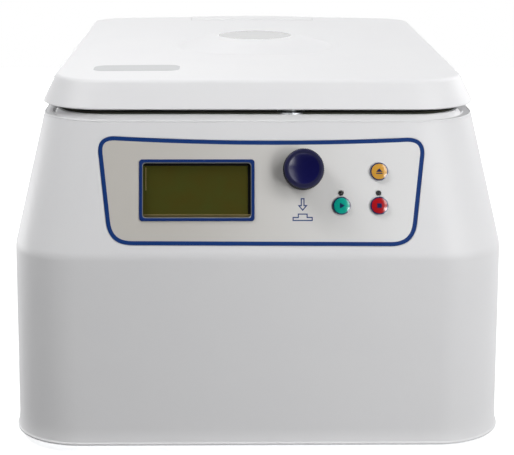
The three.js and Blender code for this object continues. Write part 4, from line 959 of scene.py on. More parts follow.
    def build_gap_shade(self) -> None:
        """Lays the near-black strip of painted shade that fills the gap under the lid's edge."""
        low, high = self.plinth_top - SPARE, self.plinth_top + SPARE
        sides = (self.ledge, self.shade_strip_inner_side)
        loops = [self.level(0, 1, inset, self.plinth_corner - less, side)
                 for inset, less, side in zip(self.shade_strip_inset, self.shade_strip_corner_less, sides)]
        notch = Form().peg(self.shade_strip_latch, LATCH, low, high)
        behind = Form().block((-self.shade_strip_gap_half, self.shade_strip_gap_front, low),
                              (self.shade_strip_gap_half, self.half_depth + SPARE, high))
        # Near-black strip of painted shade, filling the gap under the lid's edge
        build(Form().plate(loops, self.plinth_top, self.plinth_top + self.shade_strip_height), "lid_gap_painted_shade",
              Body.BASE, [GAP_SHADE_STRIP], tools=[notch, behind])

    def build(self, panel: "ControlPanel") -> None:
        """Builds the shell, cut for the control panel, and the strip of painted shade under the lid's edge.
        """
        self.build_shell(panel)
        self.build_gap_shade()


PANEL = Housing().panel_place()


@dataclass(frozen=True)
class Display:
    """Display: a blue frame with a pale lip of painted highlight and a black well of painted shade, and two
    painted edges on the glass.

    The frame's section lists how far inside the outline each point lies, its height, and the number of the
    finish that starts there. Everything is in the panel's own frame.
    """

    left: float = -77.9
    right: float = -3.1
    low: float = 23.42
    high: float = 63.52
    corner: float = 2.0
    # Finish 2 is a pale ring of painted highlight at the inner lip, finish 1 a black well of painted shade
    section: Profile = ((0, 0.5, 0), (0, 0.75, 0), (0.3, 1.0, 0), (1.8, 1.0, 0), (2.0, 0.85, 2),
                        (2.4, 0.5, 1), (2.4, -2.6, 1), (1.1, -2.6, 0), (1.1, 0.5, 0))
    hole_inset: float = 0.8
    well: float = 2.4
    glass: float = -2.55
    gold_highlight_width: float = 4.5
    gold_highlight_top: float = -1.6
    glint_sides: Flat = (3.9, 4.4)
    glint_ends: Flat = (20.0, 5.0)
    glint_top: float = -2.2
    shadow_left: float = 2.5
    shadow_width: float = 4.2
    shadow_height: float = 3.9
    shadow_foot: float = 4.6
    shadow_top: float = -1.9
    bevel: float = 0.15

    def loop(self, inset: float) -> Loop:
        """Draws the frame's outline.

        Args:
            inset: How far inside the frame's edge it runs.
        Returns:
            The outline, anticlockwise.
        """
        reach = (self.high - self.low) / 2 - inset
        ring = round_ring((self.right - self.left) / 2 - inset, reach, reach, self.corner, 0, 8)
        middle = Vector(((self.left + self.right) / 2, (self.low + self.high) / 2, 0))
        return [point + middle for point in ring]

    def build_frame(self) -> None:
        """Builds the blue frame with its pale lip of painted highlight and its black well of painted shade.
        """
        form = Form()
        for i, (inset, height, mark) in enumerate(self.section):
            after, next_height, _ = self.section[(i + 1) % len(self.section)]
            ends = ((self.loop(inset), height), (self.loop(after), next_height))
            form.loft([[Vector((p.x, p.y, z)) for p in ring] for ring, z in ends], mark, ends=False)
        build(form.moved(PANEL), "display_blue_frame", Body.BASE,
              [BLUE_FRAME, BLACK_ABS, FRAME_LIP_HIGHLIGHT], ["display_bezel"])

    def build_edges(self) -> None:
        """Lays the gold edge and its glint at the left as painted highlight, and black strips of painted
        shadow along the top and right.
        """
        x0, x1, y0, y1 = self.left, self.right, self.low, self.high
        # Gold bar and glint: painted highlight on the lower and left sides of the glass
        gold_highlight = Form().block((x0 + self.well, y0 + self.well, self.glass),
                            (x1 - self.well, y0 + self.gold_highlight_width, self.gold_highlight_top))
        gold_highlight.block((x0 + self.glint_sides[0], y0 + self.glint_ends[0], self.glass),
                   (x0 + self.glint_sides[1], y1 - self.glint_ends[1], self.glint_top))
        build(gold_highlight.moved(PANEL), "display_gold_highlight", Body.BASE, [GOLD_HIGHLIGHT_EDGE],
              soften=self.bevel)
        # Black strips of painted shadow along the top and right of the glass
        shadow_strips = Form().block((x0 + self.shadow_left, y1 - self.shadow_height, self.glass),
                            (x1 - self.well, y1 - self.well, self.shadow_top))
        shadow_strips.block((x1 - self.shadow_width, y0 + self.shadow_foot, self.glass),
                   (x1 - self.well, y1 - self.shadow_height, self.shadow_top))
        build(shadow_strips.moved(PANEL), "display_painted_shadow_strips", Body.BASE, [DISPLAY_PAINTED_SHADOW],
              soften=self.bevel)


@dataclass(frozen=True)
class Knob:
    """Push-and-turn knob: a ribbed grip, a round rim and a shallow dish.

    The grip's profile lists radius, height and, at the ribs, their depth.
    """

    place: Flat = (28.3, 56.42)
    hole: float = 3.4
    bore: float = 3.35
    bore_top: float = 10.9
    grip: Profile = ((3.35, 10.9), (3.35, 1.9), (12.5, 1.9), (12.9, 2.1), (13.25, 2.6, 0.5),
                     (13.25, 13.6, 0.5), (12.8, 14.0), (12.75, 14.1))
    ribs: int = 72
    rim: Profile = ((12.75, 14.1), (12.75, 16.0), (11.2, 16.0))
    lip: Profile = ((11.2, 16.0), (10.2, 16.0), (9.8, 15.8))
    dish: float = 9.8
    dish_floor: float = 14.5
    dish_rise: float = 1.3
    dish_rings: int = 14
    steps: int = 288

    def build(self) -> None:
        """Builds the knob."""
        shares = (1 - i / self.dish_rings for i in range(self.dish_rings + 1))
        dish = [(self.dish * share, self.dish_floor + self.dish_rise * share ** 2) for share in shares]
        form = Form().turn(self.grip, self.steps, mark=1, ribs=self.ribs)
        form.turn(bend(*self.rim, 8), self.steps, mark=2).turn(bend(*self.lip, 5), self.steps, mark=2)
        form.turn(dish, self.steps).turn([(0, self.bore_top), (self.bore, self.bore_top)], self.steps, mark=1)
        build(form.moved(PANEL @ Matrix.Translation((*self.place, 0))), "knob_navy_dish", Body.KNOB,
              [NAVY_GLOSS, NAVY_GRIP, NAVY_MATT], ["knob"])


@dataclass(frozen=True)
class Button:
    """One button: a domed cap with a dark printed edge and a plain sign, on its stem."""

    use: str
    place: Flat
    body: Body
    slot: str
    finish: Finish
    sign: tuple[tuple[Flat, ...], ...]
    hole: float = 2.8
    radius: float = 5.85
    stem: float = 2.4
    stem_foot: float = -6.43
    cap_foot: float = 1.0
    edge_round: float = 0.1
    edge_top: float = 1.55
    print_top: float = 1.72
    dome_foot: float = 1.7
    dome_rise: float = 0.67
    dome_shares: tuple[float, ...] = (0.86, 0.72, 0.58, 0.44, 0.3, 0.15, 0.0)
    sign_reach: Flat = (2.1, 2.39)
    steps: int = 64

    def build(self) -> None:
        """Builds the button. The first ring of the dome belongs to the printed edge."""
        edge, small = self.radius, self.edge_round
        stem = [(0, self.stem_foot), (self.stem, self.stem_foot), (self.stem, self.cap_foot),
                (edge - small, self.cap_foot), (edge, self.cap_foot + small), (edge, self.edge_top)]
        dome = [(edge * share, self.dome_foot + self.dome_rise * (1 - share ** 2))
                for share in self.dome_shares]
        band = [(edge, self.edge_top), (edge - small, self.print_top), dome[0]]
        form = Form().turn(stem, self.steps, mark=1).turn(band, self.steps, mark=1).turn(dome, self.steps)
        for outline in self.sign:
            form.plate([flat_loop(outline)], *self.sign_reach, mark=1)
        build(form.moved(PANEL @ Matrix.Translation((*self.place, 0))), f"{self.use}_button_dome", self.body,
              [self.finish, NAVY_PRINT], [f"button_{self.use}"])


# The plain signs of the buttons: a triangle over a bar, a triangle and a square
EJECT_SIGN = (((-2.1, -0.3), (2.1, -0.3), (0.0, 2.0)), ((-2.1, -1.6), (2.1, -1.6), (2.1, -0.9), (-2.1, -0.9)))
START_SIGN = (((-1.3, -1.9), (2.0, 0.0), (-1.3, 1.9)),)
STOP_SIGN = (((-1.5, -1.5), (1.5, -1.5), (1.5, 1.5), (-1.5, 1.5)),)


@dataclass(frozen=True)
class Lamp:
    """One lamp: a small black dome on its stem."""

    use: str
    place: Flat
    hole: float = 1.8
    radius: float = 1.5
    foot: float = -10.4
    spring: float = 0.7
    steps: int = 40

    def build(self) -> None:
        """Builds the lamp."""
        angles = (QUARTER * i / 8 for i in range(9))
        dome = [(self.radius * math.cos(a), self.spring + self.radius * math.sin(a)) for a in angles]
        stem = [(0, self.foot), (self.radius, self.foot), (self.radius, self.spring)]
        form = Form().turn(stem, self.steps).turn(dome, self.steps)
        build(form.moved(PANEL @ Matrix.Translation((*self.place, 0))), f"{self.use}_lamp_dome", Body.BASE,
              [BLACK_LENS], [f"led_{self.use}"])


@dataclass
class ControlPanel:
    """Printed film with the display, the knob, three buttons and two lamps, in the panel's own frame.

    Each corner of the film gives its place and how far its bend reaches. The film's upper edge sags.
    """

    corners: tuple[Spot, ...] = ((-97.6, 8.0, 15.0), (100.6, 7.0, 15.2), (108.5, 77.55, 12.0),
                                 (-105.5, 78.62, 11.4))
    sag: float = 2.4
    film_back: float = -0.3
    film_face: float = 0.2
    border: float = 2.65
    recess_margin: float = 0.3
    recess_reach: Flat = (-0.6, 8.0)
    hole_reach: Flat = (-9.0, 5.0)
    arrow: tuple[Flat, ...] = ((28.07, 30.1), (31.08, 33.7), (29.2, 33.7), (29.2, 38.2), (26.94, 38.2),
                               (26.94, 33.7), (25.05, 33.7))
    push_sign: tuple[Flat, ...] = ((21.6, 23.55), (34.5, 23.55), (34.5, 26.0), (31.2, 26.0), (31.2, 28.2),
                                   (25.0, 28.2), (25.0, 26.0), (21.6, 26.0))
    print_edges: Flat = (0.1, -0.6)
    print_height: float = 0.04
    display: Display = Display()
    knob: Knob = Knob()
    buttons: tuple[Button, ...] = (
        Button("open", (77.8, 55.52), Body.OPEN, "button_amber", AMBER_DOME, EJECT_SIGN),
        Button("start", (53.4, 33.32), Body.START, "button_teal", TEAL_DOME, START_SIGN),
        Button("stop", (77.8, 33.32), Body.STOP, "button_red", RED_DOME, STOP_SIGN))
    lamps: tuple[Lamp, ...] = (Lamp("start", (53.0, 41.62)), Lamp("stop", (77.4, 41.62)))

    def outline(self, margin: float) -> Loop:
        """Draws the film's outline, grown by a margin.

        Args:
            margin: How far outside the film's edge it runs.
        Returns:
            The outline, anticlockwise.
        """
        places = [Vector((x, y)) for x, y, _ in self.corners]
        points = []
        for i, corner in enumerate(places):
            reach = self.corners[i][2]
            before = (places[i - 1] - corner).normalized() * reach
            after = (places[(i + 1) % len(places)] - corner).normalized() * reach
            points += bend(tuple(corner + before), tuple(corner), tuple(corner + after), 12)
            if i == 2:
                middle = (places[2] + places[3]) / 2 - Vector((0, 2 * self.sag))
                end = places[3] + (places[2] - places[3]).normalized() * self.corners[3][2]
                points += bend(tuple(corner + after), tuple(middle), tuple(end), 30)[1:-1]
        return grown(flat_loop(points), margin)

    def recess(self) -> Form:
        """Gives the form that sinks the film into the front."""
        return Form().plate([self.outline(self.recess_margin)], *self.recess_reach).moved(PANEL)

    def hole_loops(self) -> list[Loop]:
        """Lists the outlines of every hole through the film.

        Returns:
            The outlines.
        """
        loops = [self.display.loop(self.display.hole_inset), circle(self.knob.hole, 0, 32, *self.knob.place)]
        loops += [circle(button.hole, 0, 32, *button.place) for button in self.buttons]
        loops += [circle(lamp.hole, 0, 28, *lamp.place) for lamp in self.lamps]
        return loops

    def holes(self) -> Form:
        """Gives the form that cuts every hole through the front.

        Returns:
            The cutting form.
        """
        tool = Form()
        for loop in self.hole_loops():
            tool.plate([loop], *self.hole_reach)
        return tool.moved(PANEL)

    def build_film(self) -> None:
        """Builds the film with its blue border as part of the same sheet."""
        outer, inner, holes = self.outline(0), self.outline(-self.border), self.hole_loops()
        form = Form().sheet([outer, *holes], self.film_back).sheet([outer, inner], self.film_face, 1)
        form.sheet([inner, *holes], self.film_face)
        for loop in (outer, *holes):
            form.wall(loop, self.film_back, self.film_face, 1 if loop is outer else 0)
        build(form.moved(PANEL), "panel_film", Body.BASE, [SILVER_FILM_SIDE_LIT, BLUE_INK],
              ["panel_overlay"])

    def build_print(self) -> None:
        """Builds the printed arrow and the sign for pushing the knob, as outlines in blue ink."""
        form = Form()
        for points in (self.arrow, self.push_sign):
            edges = [grown(flat_loop(points), margin) for margin in self.print_edges]
            form.plate(edges, self.film_face, self.film_face + self.print_height)
        build(form.moved(PANEL), "panel_print", Body.BASE, [BLUE_INK])

    def build(self) -> None:
        """Builds every piece of the panel."""
        self.build_film()
        self.build_print()
        self.display.build_frame()
        self.display.build_edges()
        for part in (self.knob, *self.buttons, *self.lamps):
            part.build()


@dataclass
class Lid:
    """Hinged lid: a skirt that slopes in to a soft kink, and a crowned top that rises to the window.

    A shallow crease runs round the foot of the rise. The edge's section lists height above the skirt's foot,
    share of the slope, inset, and how much further in the back lies. Heights in the pane's profile are from
    the rim round the window, and those in the sleeve's and the striker's are from their own foot.
    """

    half: float = 145.2
    front: float = 179.0
    back: float = 200.0
    foot: float = 227.1
    skirt: float = 18.4
    edge: Profile = ((0, 0, 1.8, 2.25), (0.25, 0, 1.15, 2.7), (0.77, 0, 0.54, 3.15), (1.4, 0.05, 0.2, 2.8),
                     (2.2, 0.12, 0, 2.25))
    step_top: float = 4.1
    back_inset: float = 4.5
    slope_side: float = 8.9
    slope_front: float = 10.3
    slope_back: float = 4.0
    corner: float = 43.0
    kink_corner: float = 36.0
    kink_back_corner: float = 21.0
    kink_bend: float = 2.4
    wall: float = 3.0
    corner_steps: int = 16
    side_steps: int = 14
    crown: float = 1.8
    crown_run: float = 110.0
    boss_rise: float = 9.2
    boss_foot: float = 60.0
    boss_rim: float = 29.5
    boss_ease: float = 0.12
    boss_crease: float = 0.35
    crease_width: float = 3.0
    top_shares: tuple[float, ...] = (0.1, 0.25, 0.4, 0.55, 0.7, 0.85, 1.0)
    ring_start: float = 65.0
    ring_end: float = 29.0
    ring_count: int = 33
    notch_half: float = 53.15
    notch_front: float = 167.5
    notch_back: float = 210.0

    window: float = 27.5
    window_reach: float = 0.8
    window_drop: float = 0.7
    seat: float = 30.3
    seat_drop: float = 2.0
    bore_foot: float = 8.0
    pane: Profile = ((0, -4.8), (30.0, -4.8), (30.0, -2.5), (29.8, -2.3), (27.42, -2.3), (27.42, -0.7),
                     (27.6, -0.35), (0, -0.2))
    sleeve: Profile = ((27.5, 0.4), (27.9, 0), (28.9, 0), (28.9, 2.5), (33.9, 2.5), (33.9, 4.5), (28.9, 4.5),
                       (28.9, 22.5), (27.5, 22.5))
    liner: float = 2.5
    liner_gap: float = 0.4
    liner_window: float = 29.2
    liner_latch: float = 5.3

    badge: Flat = (-82.7, -117.8)
    badge_half: Flat = (29.3, 12.2)
    badge_corner: float = 8.0
    badge_under: float = 0.02
    badge_top: float = 0.2
    badge_round: float = 0.06
    striker: Profile = ((0, 0), (3.2, 0), (4.4, 0.5), (5, 1.5))
    striker_radius: float = 5.0
    striker_slot: Flat = (205.8, 210.6)
    striker_slot_half: float = 2.9
    striker_bevel: float = 0.2

    @property
    def kink(self) -> float:
        """Height of the kink."""
        return self.foot + self.skirt

    @property
    def boss_top(self) -> float:
        """Height of the rim round the window."""
        return self.kink + self.boss_rise

    def crown_height(self, x: float, y: float) -> float:
        """Gives how far the crown rises at a place."""
        across = 1 - min(abs(x) / (self.half - self.slope_side), 1) ** 2
        return self.crown * across * smooth((y + self.front - self.slope_front) / self.crown_run)

    def top_height(self, x: float, y: float) -> float:
        """Gives the height of the lid's top at a place.

        Args:
            x: The place to the right.
            y: The place to the back.
        Returns:
            The height.
        """
        crown = self.crown_height(x, y)
        reach = math.hypot(x, y)
        rise = (self.boss_foot - reach) / (self.boss_foot - self.boss_rim)
        crease = self.boss_crease * math.exp(-((reach - self.boss_foot) / self.crease_width) ** 2)
        return self.kink + crown - crease + (self.boss_rise - crown) * eased(rise, self.boss_ease)

    def level(self, height: float, share: float, inset: float, back_inset: float = 0.0) -> Loop:
        """Gives the skirt's outline at a height.

        Args:
            height: The level.
            share: The share of the slope reached there.
            inset: How far in it lies all round.
            back_inset: How much further in it lies at the back.
        Returns:
            The outline, with the crown worked in.
        """
        radius = self.corner + (self.kink_corner - self.corner) * share - inset
        back_radius = self.corner + (self.kink_back_corner - self.corner) * share - inset
        ring = round_ring(self.half - self.slope_side * share - inset,
                          self.front - self.slope_front * share - inset,
                          self.back - self.slope_back * share - inset - back_inset, radius, height,
                          self.corner_steps, self.side_steps, back_radius)
        for point in ring:
            point.z += self.crown_height(point.x, point.y) * share
        return ring

    def inwards(self, ring: Loop, share: float, radius: float, inset: float) -> Loop:
        """Moves an outline over the top, by a share of its way to a circle.

        Args:
            ring: The outline.
            share: The share of the way.
            radius: Radius of the circle.
            inset: How far under the top it lies.
        Returns:
            The new outline.
        """
        found = []
        for point in ring:
            angle = math.atan2(point.y, point.x)
            x = point.x + (radius * math.cos(angle) - point.x) * share
            y = point.y + (radius * math.sin(angle) - point.y) * share
            found.append(Vector((x, y, self.top_height(x, y) - inset)))
        return found

    def solid(self, inset: float) -> Form:
        """Builds the lid's outer form, or the hollow inside it.

        Args:
            inset: Nought for the outer form, or the thickness of the wall.
        Returns:
            The form.
        """
        if inset == 0:
            entries = [(self.foot + rise, *rest) for rise, *rest in self.edge]
        else:
            entries = [(self.foot - SPARE, 0, inset, self.back_inset), (self.foot, 0, inset, self.back_inset)]
        entries.append((self.foot + self.step_top, self.step_top / self.skirt, inset, 0))
        top, turned = self.kink - inset, self.kink_bend + inset
        entries += bend((self.kink - self.kink_bend - inset, 1 - turned / self.skirt, inset, 0),
                        (top, 1, inset, 0), (top, 1, inset + self.kink_bend, 0), 8)
        rings = [self.level(*entry) for entry in entries]
        brow = rings[-1]
        rings += [self.inwards(brow, share, self.ring_start, inset) for share in self.top_shares]
        for step in range(1, self.ring_count + 1):
            radius = self.ring_start + (self.ring_end - self.ring_start) * step / self.ring_count
            rings.append(self.inwards(brow, 1, radius, inset))
        return Form().loft(rings)

    def notch(self, margin: float) -> Form:
        """Gives the room for the hinge cover.

        Args:
            margin: How much wider it is all round.
        Returns:
            The cutting form.
        """
        half, front = self.notch_half + margin, self.notch_front - margin
        low, high = self.foot - 2 * SPARE, self.boss_top + SPARE
        return Form().block((-half, front, low), (half, self.notch_back, high))

    def hollow(self) -> Form:
        """Gives the room inside the lid, with a wall left round the notch.

        Returns:
            The cutting form.
        """
        hollow = placed("hollow", self.solid(self.wall).mesh("hollow"))
        carve(hollow, self.notch(self.wall))
        form = Form()
        form.points = [vertex.co / MM for vertex in hollow.data.vertices]
        for polygon in hollow.data.polygons:
            form.add_face(polygon.vertices, 0)
        bpy.data.objects.remove(hollow)
        return form

    def build_shell(self) -> None:
        """Builds the shell: the outer form less the notch, the hollow and the window."""
        rim, foot, wide = self.boss_top, self.foot + self.bore_foot, self.window + self.window_reach
        seat = rim - self.seat_drop
        opening = [(0, foot), (self.seat, foot), (self.seat, seat), (self.window, seat)]
        opening += bend((self.window, rim - self.window_drop), (self.window, rim), (wide, rim + 0.01), 5)
        opening += [(wide, rim + SPARE), (0, rim + SPARE)]
        build(self.solid(0), "lid_white_shell", Body.LID, [WHITE_ABS], ["lid_shell"],
              tools=[self.notch(0), self.hollow(), Form().turn(opening, 96)], sharp=40)

    def build_liner(self) -> None:
        """Builds the flat liner that closes the lid from below."""
        inset = self.wall + self.liner_gap
        rings = []
        for height in (0, self.liner):
            ring = self.level(self.foot, height / self.skirt, inset, self.back_inset)
            rings.append([Vector((point.x, point.y, self.foot + height)) for point in ring])
        low, high = self.foot - SPARE, self.foot + 2 * SPARE
        tools = [self.notch(inset), Form().peg(self.liner_window, (0, 0), low, high, 64),
                 Form().peg(self.liner_latch, LATCH, low, high, 64)]
        build(Form().loft(rings), "lid_inner_liner", Body.LID, [INNER_ABS], ["lid_liner"],
              tools=tools)

    def build_window(self) -> None:
        """Builds the pane and its sleeve."""
        build(Form().turn(raised(self.pane, self.boss_top), 96), "window_grey_pane", Body.LID,
              [FROSTED_PANE], ["window_pane"])
        build(Form().turn(raised(self.sleeve, self.foot), 96, looped=True), "window_sight_sleeve", Body.LID,
              [INNER_ABS], ["window_sleeve"])

    def build_badge(self) -> None:
        """Builds the bare badge as a thin plate that follows the lid's top."""
        half, reach = self.badge_half
        ring = round_ring(half, reach, reach, self.badge_corner, 0, 10, 4)
        under, top = self.badge_under, self.badge_top
        layers = [(under, share) for share in (0.05, 0.35, 0.7, 1.0)]
        layers += [(top - self.badge_round, 1.0), *((top, share) for share in (0.985, 0.7, 0.35, 0.05))]
        rings = []
        for lift, share in layers:
            level = []
            for point in ring:
                x, y = self.badge[0] + point.x * share, self.badge[1] + point.y * share
                level.append(Vector((x, y, self.top_height(x, y) + lift)))
            rings.append(level)
        build(Form().loft(rings), "lid_bare_badge", Body.LID, [BADGE_FILM], ["lid_badge"])

    def build_striker(self) -> None:
        """Builds the striker that the latch bolt holds."""
        low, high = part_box("lid_striker")
        foot, top = low.z / MM, high.z / MM
        post = Form().turn([*raised(self.striker, foot), (self.striker_radius, top), (0, top)], 48)
        x, y = LATCH
        slot = Form().block((x - 2 * SPARE, y - self.striker_slot_half, self.striker_slot[0]),
                            (x + 2 * SPARE, y + self.striker_slot_half, self.striker_slot[1]))
        piece = build(post.shifted(x, y), "lid_steel_striker", Body.LID, [STEEL_STRAIGHT],
                      ["lid_striker"], tools=[slot])
        add_bevel(piece, self.striker_bevel)

    def build(self) -> None:
        """Builds every piece of the lid."""
        self.build_shell()
        self.build_liner()
        self.build_window()
        self.build_badge()
        self.build_striker()


@dataclass
class HingeCover:
    """Fixed white cover over the hinge, in the lid's notch: a crowned bar with round shoulders."""

    half: float = 53.0
    front: float = 168.0
    back: float = 198.0
    foot: float = PLINTH_TOP
    top: float = 248.2
    crown: float = 0.8
    wall: float = 2.2
    rear_round: float = 6.0
    front_round: float = 3.0
    end_round: Profile = ((0, 0.7), (0.25, 0.2), (0.7, 0))
    stations: int = 8
    pin: Flat = (188.5, 237.4)
    pin_bore: float = 3.3
    pin_reach: float = 60.0

    def section(self, x: float, margin: float) -> Loop:
        """Gives the cover's section at a place along it, a margin inside its face.

        Args:
            x: The place along the cover.
            margin: How far inside the outer face it lies.
        Returns:
            The section.
        """
        front, back = self.front + margin, self.back - margin
        far, near = self.rear_round, self.front_round
        top = self.top - self.crown * (x / self.half) ** 2 - margin
        foot = self.foot - SPARE if margin > 1 else self.foot
        rear = bend((back, top - far + margin), (back, top), (back - far + margin, top), 8)
        fore = bend((front + near - margin, top), (front, top), (front, top - near + margin), 6)
        return [Vector((x, y, z)) for y, z in [(front, foot), (back, foot), *rear, *fore]]

    def form(self, margin: float) -> Form:
        """Lofts the sections, with the outer ends slightly rounded.

        Args:
            margin: How far inside the outer face it lies.
        Returns:
            The form.
        """
        half = self.half - margin
        places = [half * (i / self.stations - 1) for i in range(2 * self.stations + 1)]
        sections = [self.section(x, margin) for x in places]
        if margin == 0:
            left = [self.section(reach - half, inset) for reach, inset in self.end_round]
            right = [self.section(half - reach, inset) for reach, inset in reversed(self.end_round)]
            sections = [*left, *sections[1:-1], *right]
        return Form().loft(sections)

    def build(self) -> None:
        """Builds the cover, hollow and bored for the pin."""
        radius, reach = self.pin_bore, self.pin_reach
        bore = Form().turn([(0, -reach), (radius, -reach), (radius, reach), (0, reach)], 32)
        bore.moved(Matrix.Translation((0, *self.pin)) @ Matrix.Rotation(QUARTER, 4, "Y"))
        build(self.form(0), "hinge_white_cover", Body.BASE, [WHITE_ABS], ["hinge_cover"],
              tools=[self.form(self.wall), bore], sharp=40)


@dataclass
class Chamber:
    """What the open lid shows: the bowl, its gasket, the rotor with its nut and the latch collar.

    Profiles give radius and height. Heights of the collar and the gasket are from the plinth's top, those of
    the rotor's skirt from its foot, those of its shoulder, dip and hub from its top, and those of a tube bore
    lie along the bore's own tilted axis.
    """

    bowl: float = 120.0
    bowl_floor: float = 103.2
    bowl_sheet: float = 1.5
    bowl_round: float = 12.0
    bowl_hole: float = 24.0
    bowl_flange: float = 132.0
    deck_under: float = DECK_UNDER
    plinth_top: float = PLINTH_TOP
    gasket_foot: Profile = ((115.8, -6.4), (117.7, -6.4), (117.7, 0), (124.0, 0))
    gasket_outside: Profile = ((124.0, 1.0), (123.6, 2.7), (119.9, 2.7))
    gasket_inside: Profile = ((119.9, 2.7), (115.8, 2.7), (115.8, 1.1))
    collar: Profile = ((7.0, -12), (8.2, -12), (8.2, 0), (9.2, 0), (9.2, 0.8), (8.8, 1.2), (7.5, 1.2),
                       (7.0, 0.7))
    rotor_bore: float = 6.3
    rotor_foot: float = 114.7
    rotor_top: float = 198.7
    rotor_skirt: Profile = ((6.3, 0), (95, 0), (101.8, 6.8), (103, 8.4), (103, 15.6), (102.4, 17))
    rotor_cone_top: Profile = ((58.4, -3.4),)
    rotor_shoulder: Profile = ((58, -3), (58, 0), (55, 0))
    rotor_dip: Profile = ((53, 0), (51, -0.2), (48, -1.6))
    hub: Profile = ((23.4, -6.9), (20.6, -6.4), (20, -4.2), (19.8, -4), (6.3, -4))
    tube_count: int = 8
    tube_circle: float = 44.0
    tube_drop: float = 3.5
    tube_tilt: float = 35.0
    tube: Profile = ((0, -85), (6.2, -84), (8.4, -80.5), (8.75, -77), (8.75, 15), (0, 15))
    nut_foot: Profile = ((6.3, 0), (13, 0), (14.6, 0.8), (15, 2, 1.1))
    nut_top: Profile = ((15, -2.4, 1.1), (14.4, -0.9, 0.5), (13, 0), (3, 0), (0, 0), (0, -1.9), (4.8, -1.9))
    nut_thread: float = 4.8
    nut_lobes: int = 12
    steps: int = 128

    def build_bowl(self) -> None:
        """Builds the pressed steel bowl with its round corner and flange."""
        bowl, floor, brow = self.bowl, self.bowl_floor, self.deck_under
        outer, under, bow = bowl + self.bowl_sheet, floor - self.bowl_sheet, self.bowl_round
        profile = [(self.bowl_hole, floor), (self.bowl_hole, under)]
        profile += bend((outer - bow, under), (outer, under), (outer, under + bow), 8)
        profile += [(outer, brow - self.bowl_sheet), (self.bowl_flange, brow - self.bowl_sheet),
                    (self.bowl_flange, brow), (bowl, brow)]
        profile += bend((bowl, under + bow), (bowl, floor), (bowl - bow + self.bowl_sheet, floor), 8)
        build(Form().turn(profile, self.steps, looped=True), "chamber_steel_bowl", Body.BASE,
              [STAINLESS], ["chamber_bowl"])

    def build_gasket(self) -> None:
        """Builds the grey gasket, with a soft round bead on top."""
        profile = [*self.gasket_foot, *bend(*self.gasket_outside, 6), *bend(*self.gasket_inside, 5)[1:]]
        form = Form().turn(raised(profile, self.plinth_top), self.steps, looped=True)
        build(form, "chamber_grey_gasket", Body.BASE, [GREY_SILICONE], ["chamber_gasket"])

    def build_collar(self) -> None:
        """Builds the steel collar that the striker goes into."""
        form = Form().turn(raised(self.collar, self.plinth_top), 64, looped=True).shifted(*LATCH)
        build(form, "latch_steel_collar", Body.BASE, [STEEL_STRAIGHT], ["latch_collar"])

    def build_rotor(self) -> None:
        """Builds the angle rotor, turned from solid, with its tilted tube bores."""
        crest = [*self.rotor_cone_top, *bend(*self.rotor_shoulder, 5), *bend(*self.rotor_dip, 4), *self.hub]
        profile = [*raised(self.rotor_skirt, self.rotor_foot), *raised(crest, self.rotor_top)]
        tools = []
        for i in range(self.tube_count):
            place = Matrix.Rotation(TURN * i / self.tube_count, 4, "Z")
            place = place @ Matrix.Translation((self.tube_circle, 0, self.rotor_top - self.tube_drop))
            tilt = Matrix.Rotation(-math.radians(self.tube_tilt), 4, "Y")
            tools.append(Form().turn(self.tube, 40).moved(place @ tilt))
        build(Form().turn(profile, self.steps, looped=True), "rotor_angle_body", Body.ROTOR,
              [ANODISED], ["rotor_body"], tools=tools, sharp=30)

    def build_nut(self) -> None:
        """Builds the rotor nut: a lobed grip with a blind bore."""
        low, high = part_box("rotor_nut")
        foot, top = low.z / MM, high.z / MM
        profile = [*raised(self.nut_foot, foot), *raised(self.nut_top, top), (self.nut_thread, foot + 2),
                   (self.rotor_bore, foot)]
        build(Form().turn(profile, 180, ribs=self.nut_lobes), "rotor_grip_nut", Body.ROTOR,
              [ANODISED], ["rotor_nut"])

    def build(self) -> None:
        """Builds every piece of the chamber."""
        self.build_bowl()
        self.build_gasket()
        self.build_collar()
        self.build_rotor()
        self.build_nut()


@dataclass
class Feet:
    """Four rubber feet, slightly dished where they stand, each with a plug that snaps into the base."""

    places: tuple[tuple[str, float, float], ...] = (
        ("front_left", -118.0, -158.0), ("front_right", 118.0, -158.0), ("rear_left", -118.0, 158.0),
        ("rear_right", 118.0, 158.0))
    dish: Profile = ((0, 0.8), (7.5, 0.8), (8.5, 0.1), (9.2, 0))
    edge: Profile = ((11.0, 0), (12.5, 0), (12.5, 1.6))
    plug: Profile = ((12.5, 7.4), (12.0, 8.0), (3.2, 8.0), (3.2, 9.8), (4.6, 9.8), (3.2, 13.2), (0, 13.2))

    def build(self) -> None:
        """Builds the feet, each in its own place."""
        for name, x, y in self.places:
            form = Form().turn([*self.dish, *bend(*self.edge, 5), *self.plug], 56).shifted(x, y)
            build(form, f"rubber_foot_{name}", Body.BASE, [BLACK_RUBBER], [f"foot_{name}"])


